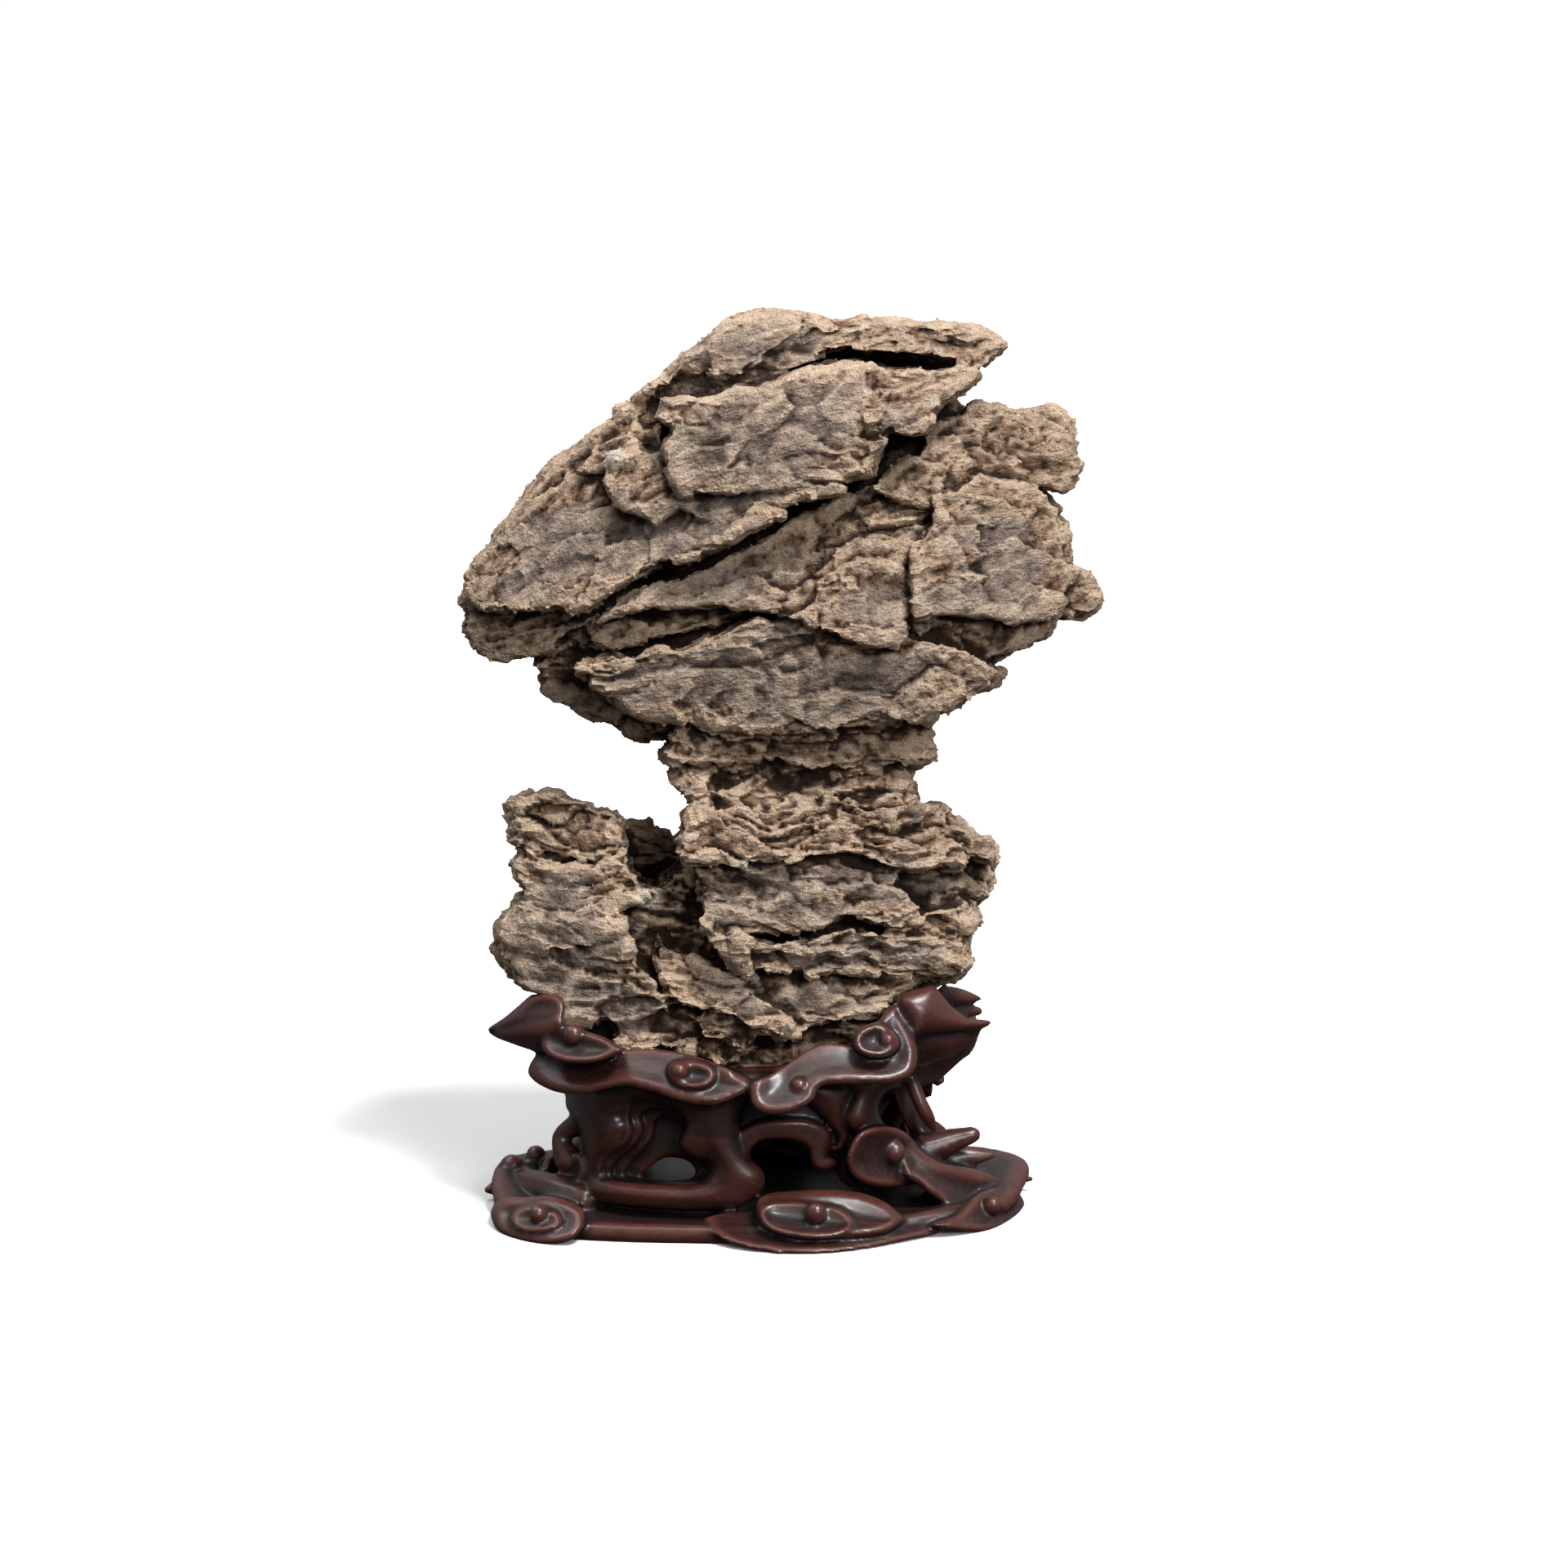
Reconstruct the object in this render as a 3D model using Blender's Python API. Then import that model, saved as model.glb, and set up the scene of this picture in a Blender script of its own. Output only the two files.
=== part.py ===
"""A scholar's rock standing in its carved hardwood stand.

Metres, +Z up, the front of the rock towards -Y, the origin on the stand's flat underside.
Outlines are drawn in millimetres on an upright sheet, as seen from in front of the rock by an
eye raised a little above it, and every drawn point is carried to its own depth along the line
of sight.  The rock is a heap of drawn plates grown into one body and worn by weather.
"""

import math

import bmesh
import bpy
import numpy as np
from mathutils import Matrix, Vector, noise

MM = 0.001

# The drawing sheet and the eye it is drawn for.
EYE_DISTANCE = 2.0
EYE_RAISE = math.radians(10.0)
SHEET_CENTRE = Vector((0.0, 0.0, 172.5 * MM))
SHEET_CENTRE_DRAWN = 191.67
SHEET_UP = Vector((0.0, math.sin(EYE_RAISE), math.cos(EYE_RAISE)))
EYE = SHEET_CENTRE - EYE_DISTANCE * Vector((0.0, math.cos(EYE_RAISE), -math.sin(EYE_RAISE)))

# The rock.
STONE_VOXEL = 2.0 * MM
STONE_TRIANGLES = 4450
STONE_COLOUR = (0.17, 0.135, 0.105, 1.0)

# The stand.
STAND_VOXEL = 1.5 * MM
CARVING_STEP = STAND_VOXEL / MM
STAND_TRIANGLES = 5050
STAND_COLOUR = (0.045, 0.016, 0.011, 1.0)
SEAT_GAP = 0.4 * MM
GROUND_SIZE = 400 * MM
FOOT_TOP = 78 * MM
BELLY = (66 * MM, 132 * MM)


def at(across, up, depth):
    """The point of the model drawn at (across, up) on the sheet and lying at this depth, all in mm."""
    drawn = SHEET_CENTRE + Vector((across * MM, 0, 0)) + SHEET_UP * ((up - SHEET_CENTRE_DRAWN) * MM)
    reach = (depth * MM - EYE.y) / (drawn.y - EYE.y)
    return EYE + (drawn - EYE) * reach


def add_shell(bm, rings):
    """Closes a run of equal rings into one shell, with a face over each end."""
    loops = [[bm.verts.new(point) for point in ring] for ring in rings]
    count = len(loops[0])
    for lower, upper in zip(loops, loops[1:]):
        for i in range(count):
            j = (i + 1) % count
            bm.faces.new((lower[i], lower[j], upper[j], upper[i]))
    bm.faces.new(list(reversed(loops[0])))
    bm.faces.new(loops[-1])


ROUNDING = (0.0, 0.12, 0.35, 0.65, 1.0)


def plate(bm, front, back, lean, outline, rim=(5, 6), heel=(16, 24)):
    """A plate of stone: a drawn outline from depth front to depth back, with worn rims.

    lean is how far the plate falls back for each mm to the right and each mm up.  rim and heel
    are how far the front and the back faces draw in, and over what depth.
    """
    across = [u for u, v in outline]
    up = [v for u, v in outline]
    middle = ((max(across) + min(across)) / 2, (max(up) + min(up)) / 2)
    half = ((max(across) - min(across)) / 2, (max(up) - min(up)) / 2)
    levels = [(rim[0] * (1 - math.sqrt(1 - (1 - t) ** 2)), front + rim[1] * t) for t in ROUNDING]
    levels += [(heel[0] * (1 - math.sqrt(1 - (1 - t) ** 2)), back - heel[1] * t)
               for t in reversed(ROUNDING)]
    rings = []
    for inset, depth in levels:
        shrink = [max(0.15, 1 - inset / h) for h in half]
        ring = []
        for u, v in outline:
            du = (u - middle[0]) * shrink[0]
            dv = (v - middle[1]) * shrink[1]
            ring.append(at(middle[0] + du, middle[1] + dv, depth + lean[0] * du + lean[1] * dv))
        rings.append(ring)
    add_shell(bm, rings)


def head(bm):
    """The spreading head of the rock: a core, the plates on its front, and those behind."""
    # The core that carries every plate.
    plate(bm, -34, 60, (0.0, 0.10), [
        (-118, 272), (-112, 254), (-92, 250), (-84, 236), (-70, 225), (-48, 217), (-40, 204), (52, 204),
        (66, 224), (82, 240), (104, 256), (116, 270), (108, 292), (98, 318), (84, 338), (60, 346),
        (66, 370), (40, 376), (-8, 378), (-34, 366), (-55, 344), (-85, 322), (-108, 294)],
        rim=(14, 26), heel=(46, 56))
    # The cap, an overhanging slab that rises to the right.
    plate(bm, -51, 50, (-0.05, -0.4), [
        (-58, 344), (-60, 350), (-50, 356), (-45, 361), (-40, 367), (-33, 371), (-28, 377), (-22, 381),
        (-13, 383), (0, 383.5), (13, 383), (24, 380), (28, 381), (50, 380.5), (60, 379.5), (80, 378),
        (85, 375.5), (90, 371), (89, 369), (85, 365), (82, 362.5), (76, 362.5), (61, 367), (50, 369),
        (25, 370), (12, 366), (0, 360), (-20, 350), (-40, 340)], rim=(4, 9), heel=(26, 34))
    # The great grey plate that faces the front under the cap.
    plate(bm, -66, -6, (0.02, 0.16), [
        (-53, 341), (-49, 349), (-38, 349), (-28, 350), (-20, 354), (-12, 353), (0, 358), (10, 361),
        (25, 364), (33, 364), (50, 361.5), (60, 361), (66, 354), (62, 340), (57, 335), (52, 334),
        (42, 336), (42, 330), (38, 324), (35, 318), (30, 317), (20, 315), (10, 314), (0, 312),
        (-10, 311), (-20, 310), (-35, 310), (-42, 307), (-47, 315), (-50, 330), (-46, 336)], rim=(5, 8))
    plate(bm, -61, 0, (0.15, 0.16), [
        (44, 346), (50, 362), (60, 361), (78, 362), (80, 358), (75, 354), (70, 350), (65, 347),
        (62, 340), (52, 336)])
    # The thin tongue under the great plate.
    plate(bm, -67, -10, (-0.1, 0.2), [
        (-44, 306), (-46, 311), (-20, 313), (0, 315), (22, 317), (24, 312), (8, 309), (-10, 302),
        (-22, 297), (-35, 300)], rim=(3, 4))
    # The long slab that falls away to the left, and the lobe at its lower end.
    plate(bm, -54, 34, (-0.26, 0.36), [
        (-56, 347), (-66, 345), (-69, 340), (-76, 337), (-85, 329), (-94, 323), (-99, 318), (-104, 311),
        (-110, 303), (-119, 290), (-125, 284), (-130, 277), (-131, 268), (-124, 262), (-106, 262),
        (-85, 263), (-78, 265), (-72, 270), (-60, 277), (-50, 282), (-40, 282.5), (-28, 287),
        (-20, 292), (-10, 297), (0, 302), (-6, 306), (-22, 299), (-36, 303), (-46, 309), (-50, 322),
        (-50, 338)], rim=(6, 9))
    plate(bm, -38, 34, (-0.22, 0.3), [
        (-131.5, 266), (-127, 261), (-128, 258), (-130, 254), (-128, 247), (-120, 244), (-113, 244),
        (-104, 245), (-96, 246), (-90, 253), (-84, 260), (-88, 265), (-108, 266), (-124, 268)])
    # The crusty lobe between that slab and the great plate, and a leaf of stone above it.
    plate(bm, -62, -20, (-0.1, 0.25), [
        (-70, 325), (-60, 330), (-48, 327), (-42, 318), (-41, 306), (-52, 297), (-60, 301), (-69, 306),
        (-73, 315)])
    plate(bm, -50, -10, (-0.3, 0.3), [
        (-86, 319), (-78, 330), (-66, 336), (-56, 332), (-60, 322), (-72, 320)], rim=(3, 4))
    # The middle tongue, between the two long cracks, which runs up into the rubble on the right.
    plate(bm, -53, 10, (-0.05, 0.4), [
        (-79, 256), (-72, 261), (-66, 266), (-60, 269), (-50, 272), (-40, 276), (-30, 280), (-20, 286),
        (-10, 290), (0, 295), (12, 302), (22, 308), (35, 313), (46, 317), (60, 311), (62, 306),
        (58, 298), (50, 285), (46, 276), (30, 268), (12, 264), (-5, 261), (-10, 263), (-30, 264),
        (-45, 263), (-55, 264), (-64, 262)], rim=(5, 8))
    plate(bm, -47, 10, (-0.05, 0.5), [
        (-81, 256), (-78, 250), (-70, 246), (-60, 249.5), (-45, 253), (-30, 258), (-12, 263), (-30, 268),
        (-50, 269), (-66, 264)], rim=(3, 4))
    # The broad band that closes the head below, and the worn tip at its left end.
    plate(bm, -60, 20, (-0.04, -0.10), [
        (-86, 236), (-84, 241), (-70, 245), (-62, 243), (-57, 246), (-50, 248), (-45, 246), (-38, 248),
        (-30, 251), (-20, 256), (-10, 260), (-4, 258), (8, 260), (30, 256), (60, 250), (80, 244),
        (86, 238), (82, 231), (75, 227), (66, 221), (58, 217), (40, 215), (20, 213), (0, 213),
        (-20, 213), (-33, 214), (-40, 217), (-58, 219), (-65, 222), (-75, 230)], rim=(5, 9))
    plate(bm, -32, 34, (-0.15, -0.25), [
        (-97, 246), (-100, 243.5), (-102, 241), (-100, 237), (-101, 235), (-98, 231.5), (-99, 230),
        (-94, 227), (-90, 226), (-86, 221.5), (-82, 219.5), (-78, 217.5), (-70, 217), (-66, 215.5),
        (-63, 213), (-57, 211), (-50, 211), (-34, 214), (-56, 226), (-72, 238), (-84, 250), (-90, 249)])
    # The fan-shaped plate over the middle of the band.
    plate(bm, -65, -10, (0.02, 0.25), [
        (-4, 260), (8, 263), (12, 268), (14, 275), (22, 279), (30, 283), (44, 282), (57, 275),
        (58, 263), (50, 259), (48, 246), (40, 247), (30, 249), (20, 252), (10, 257)], rim=(4, 6))
    # The block that ends the head on the right, and the thinner bed under it.
    plate(bm, -58, 34, (0.24, 0.22), [
        (60, 310), (70, 311), (80, 318), (85, 317), (103, 313.5), (104, 310), (107, 309.5), (110, 306),
        (113, 304), (111, 302), (114, 298), (116, 292), (115, 288), (117, 280), (120, 279), (114, 268),
        (112, 261), (93, 257), (85, 260), (65, 261), (54, 259), (51, 262), (52, 275), (52, 284),
        (56, 293), (61, 300)], rim=(5, 8))
    plate(bm, -26, 26, (0.2, 0.1), [
        (108, 280), (117, 280), (120, 279), (125, 277), (128, 273.5), (130, 266), (128, 262), (124, 260),
        (112, 260), (104, 268)])
    plate(bm, -50, 26, (0.22, 0.05), [
        (53, 258), (65, 262), (85, 261), (112, 261), (111, 257), (107, 252), (103, 250.5), (97, 248),
        (94, 246.5), (82, 241), (65, 243), (56, 247)], rim=(4, 6))
    plate(bm, -38, 20, (0.2, 0.0), [
        (60, 250), (94, 248), (88, 244), (85, 242), (84, 240), (86, 238.5), (90, 238.5), (91, 236.5),
        (88, 235), (88, 232), (86, 230.5), (79, 230), (66, 226), (56, 236)])
    # The upper right lobe, and the rubble in the hollow beside it.
    plate(bm, -38, 30, (0.16, 0.25), [
        (58, 333), (66, 342), (73, 343), (75, 346), (79, 347), (83, 345), (90, 345), (100, 345),
        (108, 347), (111, 347), (115, 344), (118, 340), (118, 332), (119.5, 322), (119, 316),
        (117, 312.5), (114, 311), (108, 313), (103, 313.5), (98, 316), (90, 316), (80, 318), (70, 313),
        (60, 316)])
    plate(bm, -49, 10, (0.15, 0.4), [
        (36, 312), (42, 318), (52, 325), (62, 332), (70, 334), (78, 322), (70, 308), (60, 304), (48, 306)])


def neck(bm):
    """The neck: thin level beds, each standing in or out a little."""
    plate(bm, -50, 38, (0.05, -0.1), [
        (-47, 211), (-49, 205), (-48, 200), (-45, 198.5), (-2, 201), (10, 200), (20, 198), (30, 196),
        (38, 197), (48, 200), (53, 199), (56, 199.5), (60, 201.5), (61.5, 204), (60, 208), (59, 213),
        (40, 219), (0, 219), (-30, 217), (-42, 215)], rim=(4, 6), heel=(20, 26))
    plate(bm, -46, 36, (0.05, 0.15), [
        (-45, 200), (-45.5, 194), (-43, 192), (-40, 189), (-38, 186), (-35, 181), (-10, 180), (20, 178),
        (50, 180), (54, 185), (52, 189), (49, 193), (50, 196), (48, 199), (20, 201), (-20, 202)],
        rim=(4, 6), heel=(20, 26))
    plate(bm, -52, 20, (0.0, 0.4), [(-36, 190), (-10, 192), (6, 187), (18, 181), (-4, 174), (-30, 176)],
          rim=(3, 5))
    plate(bm, -50, 20, (0.1, 0.4), [
        (16, 186), (34, 184), (47, 191), (54, 184), (58, 176), (30, 172), (14, 176)], rim=(3, 5))


def body(bm):
    """The lower body: the block under the neck, the sloping plates in the middle, and the foot."""
    plate(bm, -40, 48, (0.0, 0.05), [
        (-40, 176), (-44, 160), (-60, 146), (-86, 148), (-104, 134), (-100, 112), (-84, 100), (-60, 92),
        (-20, 88), (30, 94), (52, 106), (66, 114), (74, 130), (80, 150), (78, 166), (60, 178), (20, 182)],
        rim=(10, 18), heel=(26, 36))
    # The shoulder of the block, its middle, with a hollow on the right, and its lowest part.
    plate(bm, -55, 40, (0.16, 0.35), [
        (-35, 182.5), (-40, 179), (-42, 176), (-41, 174), (-45, 170), (-43, 167), (-40, 160), (-20, 158),
        (10, 162), (27, 162), (35, 160), (45, 157), (60, 158), (85, 160), (86, 166), (84, 168.5),
        (80, 169.5), (76, 173), (68, 176), (66, 181), (63, 182.5), (57, 182), (40, 180), (10, 184)])
    plate(bm, -57, 40, (0.14, 0.1), [
        (-40, 162), (-37, 150), (-34, 140), (-35, 134), (-20, 131), (10, 131), (25, 137), (48, 133),
        (54, 136), (52, 146), (46, 150), (48, 156), (30, 160), (0, 161)])
    plate(bm, -30, 40, (0.2, 0.1), [
        (50, 160), (85, 162), (85.5, 153), (84, 150), (82, 146), (79, 145), (79.5, 140), (77, 130),
        (50, 130), (44, 146)])
    plate(bm, -48, 36, (0.16, -0.05), [
        (40, 134), (66, 142), (79, 144), (79.5, 140), (77, 130), (75, 125), (64, 124), (48, 126)])
    plate(bm, -57, 38, (0.16, -0.15), [
        (-35, 135), (-30, 131), (-27, 127), (-25, 122), (-20, 116), (-15, 112), (-10, 114), (0, 114),
        (10, 113), (27, 114), (35, 113), (45, 111), (60, 111), (66, 112), (70, 115), (73, 120),
        (75, 125), (64, 128), (44, 131), (26, 133), (12, 128), (-10, 127), (-28, 133)])
    # The bed beneath the block, and the plates that slope down to the right before it.
    plate(bm, -52, 34, (0.12, 0.2), [
        (47, 108), (40, 100), (35, 96), (20, 96), (10, 91), (5, 87), (-5, 87), (-12, 91), (-30, 98),
        (-30, 114), (0, 116), (40, 114), (58, 112)])
    plate(bm, -56, 0, (-0.06, 0.45), [
        (-52, 130), (-45, 125), (-30, 117), (-18, 111), (-5, 104), (6, 96), (0, 88), (-12, 91),
        (-20, 95), (-30, 99), (-45, 102), (-50, 112), (-54, 120)], rim=(4, 6))
    plate(bm, -58, 0, (0.0, 0.4), [
        (-35, 88), (-28, 87), (-22, 82), (-16, 80), (-12, 82), (-9, 88), (-12, 94), (-25, 98), (-38, 97)],
        rim=(3, 5))
    # The foot, which goes down into the stand.
    plate(bm, -42, 38, (0.0, 0.1), [
        (-72, 96), (-68, 86), (-60, 79), (-46, 74), (-20, 69), (6, 69), (24, 74), (38, 88), (50, 102),
        (46, 112), (-60, 112)], rim=(8, 10), heel=(14, 18))
    plate(bm, -52, 0, (0.0, 0.3), [
        (-70, 92), (-68, 86), (-60, 84), (-52, 87), (-45, 83), (-38, 81), (-32, 78), (-27, 75), (-18, 78),
        (-16, 90), (-40, 100), (-60, 98)], rim=(3, 5))


def pillar(bm):
    """The pillar on the left, and the dark lump low down behind the notch."""
    plate(bm, -38, 36, (-0.1, 0.2), [
        (-112, 186), (-108, 186.5), (-102, 186), (-97, 188), (-91, 188.5), (-87, 186), (-80, 185),
        (-76, 182), (-68, 180), (-65, 177), (-66, 175), (-65, 166), (-67, 160), (-78, 161), (-91, 161),
        (-95, 163), (-104, 167), (-110, 170), (-111.5, 176), (-111, 180), (-113, 183)])
    plate(bm, -50, 38, (-0.14, 0.3), [
        (-110, 169), (-106, 167), (-107, 163), (-112, 160), (-112, 158), (-107, 152), (-106, 148),
        (-108, 141), (-113, 137), (-115, 134), (-116, 130), (-112, 126), (-90, 122), (-70, 128),
        (-65, 132), (-68, 140), (-53, 147), (-58, 152), (-62, 157), (-66, 164), (-78, 158), (-92, 158)],
        rim=(5, 8))
    plate(bm, -54, 36, (-0.12, -0.05), [
        (-116, 131), (-114, 122), (-112, 118), (-109, 114), (-107, 110), (-104, 108), (-100, 107),
        (-93, 103), (-92, 96), (-70, 92), (-60, 94), (-50, 97), (-46, 99), (-49, 106), (-57, 116),
        (-60, 119), (-62, 125), (-66, 133), (-90, 138), (-108, 138)], rim=(5, 8))
    plate(bm, -36, 20, (0.0, 0.2), [(-70, 146), (-50, 147), (-42, 128), (-48, 112), (-60, 114), (-68, 130)])
    plate(bm, 2, 44, (0.1, 0.1), [
        (-72, 168), (-66, 175), (-62, 176.5), (-57, 177), (-52, 173), (-48, 172), (-46, 169), (-43, 166),
        (-38, 156), (-38, 140), (-60, 140), (-74, 150)], rim=(4, 6), heel=(8, 14))


def behind(bm):
    """The beds that show at the back, which dip as those at the front do."""
    worn = {"rim": (14, 20), "heel": (7, 9)}
    plate(bm, 0, 50, (0.1, 0.1), [
        (-42, 350), (-22, 372), (40, 376), (76, 373), (62, 352), (10, 342), (-34, 334)], **worn)
    plate(bm, 0, 64, (-0.1, -0.25), [
        (-90, 312), (-42, 345), (20, 356), (68, 350), (86, 336), (62, 322), (0, 317), (-52, 301),
        (-80, 295)], **worn)
    plate(bm, 0, 70, (-0.12, -0.2), [
        (-114, 284), (-82, 306), (-20, 319), (40, 330), (100, 331), (106, 308), (60, 298), (0, 291),
        (-60, 273), (-102, 265)], **worn)
    plate(bm, 0, 60, (0.12, 0.2), [
        (-86, 260), (-40, 277), (20, 290), (80, 296), (112, 284), (108, 268), (50, 257), (-10, 252),
        (-62, 247)], **worn)
    plate(bm, 0, 54, (-0.1, 0.3), [
        (-80, 238), (-40, 251), (20, 256), (80, 253), (78, 236), (40, 222), (-20, 219), (-62, 222)], **worn)
    plate(bm, 0, 47, (0.1, -0.1), [
        (-34, 181), (50, 180), (76, 162), (70, 142), (20, 136), (-30, 142)], **worn)
    plate(bm, 0, 54, (0.08, 0.25), [
        (-100, 148), (-72, 152), (-40, 138), (0, 130), (62, 131), (68, 116), (24, 104), (-40, 100),
        (-84, 106), (-106, 128)], **worn)
    plate(bm, 0, 42, (0.1, 0.2), [(-107, 182), (-74, 178), (-76, 156), (-102, 158)], **worn)


# The beds fall a little to the right in the lower body.  In the head they rise to the right, and
# more steeply towards its left end.
LOWER_SLOPE = -0.07
HEAD_SLOPE = 0.10
HEAD_STEEPENING = 0.0028
NECK_TOP = 187.0
SLOPE_CHANGE = 60.0
RIGHT_SIDE = 60.0
SLOPE_TO_THE_BACK = 0.08


def bedding(point):
    """The point in the rock's own beds, in mm: along them, through them and up across them."""
    x, y, z = point.x / MM, point.y / MM, point.z / MM
    high = min(1.0, max(0.0, (z - NECK_TOP) / SLOPE_CHANGE))
    left = max(0.0, RIGHT_SIDE - x)
    head_rise = HEAD_SLOPE * x - HEAD_STEEPENING * left * left / 2
    rise = LOWER_SLOPE * x + high * (head_rise - LOWER_SLOPE * x)
    return Vector((x, y, z - rise + SLOPE_TO_THE_BACK * y))


def moved_in_depth(point, depth):
    """The point slid along its line of sight to a new depth, in metres."""
    return EYE + (point - EYE) * (depth - EYE.y) / (point.y - EYE.y)


def rearward(point):
    """0 on the front of the rock and 1 on its back."""
    return min(1, max(0, (point.y / MM + 10) / 50))


HALF_WIDTH = 132.0
WIDEST_AT = -5.0
END_ROUNDING = 0.5
TOP_ROUNDS_FROM = 327.0
TOP_ROUNDS_OVER = 45.0
TOP_ROUNDING = 0.35
SWELL = 15.0
SWELL_SIZE = (62.0, 90.0, 30.0)


def shape_in_depth(point):
    """Rounds the rock in plan and at its top, and lets its back swell and sink.

    Points slide along the line of sight only, so the drawn outlines stay as they are.
    """
    end = min(1, abs(point.x / MM - WIDEST_AT) / HALF_WIDTH)
    top = max(0, (point.z / MM - TOP_ROUNDS_FROM) / TOP_ROUNDS_OVER)
    place = Vector(b / size for b, size in zip(bedding(point), SWELL_SIZE))
    swell = SWELL * rearward(point) * noise.noise(place)
    depth = (point.y + swell * MM) * (1 - END_ROUNDING * end ** 3) * (1 - TOP_ROUNDING * top ** 2)
    return moved_in_depth(point, depth)


SCOOP_DEPTH = 0.9
SCOOP_SIZE = (26.0, 26.0, 11.0)
BED_THICKNESS = 6.5
LEDGE_LENGTH = 38.0
LEDGE_DEPTH = 2.4
LEDGE_DEPTH_BEHIND = 2.0


# Noise is read in axes turned well away from the rock's own, so that its lattice never shows.
SLANT = Matrix.Rotation(0.9, 3, "X") @ Matrix.Rotation(0.6, 3, "Y") @ Matrix.Rotation(0.8, 3, "Z")


def scooped(bed):
    """How far the scooped hollows leave the surface standing, about -1 to 1."""
    place = SLANT @ Vector(b / size for b, size in zip(bed, SCOOP_SIZE))
    return noise.ridged_multi_fractal(place, 0.9, 2.1, 3, 1.0, 2.0) - 1.1


def ledged(bed):
    """How far the bed at this place stands out or in, about -1 to 1, easing off at its edges."""
    drift = noise.noise(Vector((bed.x / 45, bed.y / 45, bed.z / 30)))
    level = bed.z / BED_THICKNESS + 1.2 * drift
    out = noise.noise(Vector((math.floor(level) * 3.7, bed.x / LEDGE_LENGTH, bed.y / LEDGE_LENGTH)))
    step = level - math.floor(level)
    return out * (1 - (2 * step - 1) ** 4)


def weather(bm):
    """Wears the surface: scooped hollows along the beds, and thin beds that stand out as ledges."""
    bm.normal_update()
    moves = []
    for vert in bm.verts:
        bed = bedding(vert.co)
        steep = 1 - abs(vert.normal.z) ** 2
        ledge = (LEDGE_DEPTH + LEDGE_DEPTH_BEHIND * rearward(vert.co)) * steep * ledged(bed)
        moves.append(MM * vert.normal * (SCOOP_DEPTH * scooped(bed) + ledge))
    for vert, move in zip(bm.verts, moves):
        vert.co = shape_in_depth(vert.co + move)


def evaluated(obj):
    """The object's mesh after its modifiers."""
    depsgraph = bpy.context.evaluated_depsgraph_get()
    depsgraph.update()
    return bpy.data.meshes.new_from_object(obj.evaluated_get(depsgraph))


def grow(bm, name, voxel):
    """Grows a heap of shells into one body, and returns it as a new object."""
    bmesh.ops.recalc_face_normals(bm, faces=bm.faces)
    mesh = bpy.data.meshes.new(name)
    bm.to_mesh(mesh)
    bm.free()
    obj = bpy.data.objects.new(name, mesh)
    bpy.context.collection.objects.link(obj)
    remesh = obj.modifiers.new("Grow", "REMESH")
    remesh.mode = "VOXEL"
    remesh.voxel_size = voxel
    obj.data = evaluated(obj)
    obj.modifiers.clear()
    return obj


def keep_largest(bm):
    """Deletes every loose or sealed part but the body itself."""
    bm.verts.ensure_lookup_table()
    unseen = set(bm.verts)
    parts = []
    while unseen:
        seed = unseen.pop()
        part = [seed]
        queue = [seed]
        while queue:
            for edge in queue.pop().link_edges:
                for vert in edge.verts:
                    if vert in unseen:
                        unseen.discard(vert)
                        part.append(vert)
                        queue.append(vert)
        parts.append(part)
    parts.sort(key=len)
    for part in parts[:-1]:
        bmesh.ops.delete(bm, geom=part, context="VERTS")


def thin(obj, triangles):
    """Brings the object down to about this many triangles."""
    obj.data.calc_loop_triangles()
    decimate = obj.modifiers.new("Thin", "DECIMATE")
    decimate.ratio = triangles / len(obj.data.loop_triangles)
    obj.data = evaluated(obj)
    obj.modifiers.clear()


def finish(name, colour, roughness):
    material = bpy.data.materials.new(name)
    material.use_nodes = True
    shader = material.node_tree.nodes["Principled BSDF"]
    shader.inputs["Base Color"].default_value = colour
    shader.inputs["Roughness"].default_value = roughness
    material.diffuse_color = colour
    return material


def make_stone():
    heap = bmesh.new()
    head(heap)
    neck(heap)
    body(heap)
    pillar(heap)
    behind(heap)
    stone = grow(heap, "stone", STONE_VOXEL)
    bm = bmesh.new()
    bm.from_mesh(stone.data)
    keep_largest(bm)
    weather(bm)
    bm.to_mesh(stone.data)
    bm.free()
    thin(stone, STONE_TRIANGLES)
    stone.data.materials.clear()
    stone.data.materials.append(finish("weathered limestone", STONE_COLOUR, 0.9))
    return stone


def smooth_path(points, steps, closed):
    """Even steps along a smooth curve through points, which may carry any number of values."""
    count = len(points)
    spans = count if closed else count - 1
    path = []
    for i in range(spans):
        near = [points[(i + k) % count] if closed else points[min(max(i + k, 0), count - 1)]
                for k in (-1, 0, 1, 2)]
        for step in range(steps):
            t = step / steps
            weights = (-t ** 3 + 2 * t ** 2 - t, 3 * t ** 3 - 5 * t ** 2 + 2,
                       -3 * t ** 3 + 4 * t ** 2 + t, t ** 3 - t ** 2)
            path.append(tuple(sum(w * p[n] for w, p in zip(weights, near)) / 2
                              for n in range(len(near[0]))))
    if not closed:
        path.append(tuple(points[-1]))
    return path


def dish(bm, centre, edge, profile):
    """A wavy dish about a centre (x, y).  edge is a closed list of (x, y, z) along its lip.

    profile runs from the middle of the underside, out to the lip and back over the top.  Each
    step is (share of the reach, share of the lip's height, height added), heights in mm.
    """
    rings = []
    for share, follow, added in profile:
        rings.append([Vector((centre[0] + (x - centre[0]) * share, centre[1] + (y - centre[1]) * share,
                              z * follow + added)) * MM for x, y, z in smooth_path(edge, 5, True)])
    add_shell(bm, rings)


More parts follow.
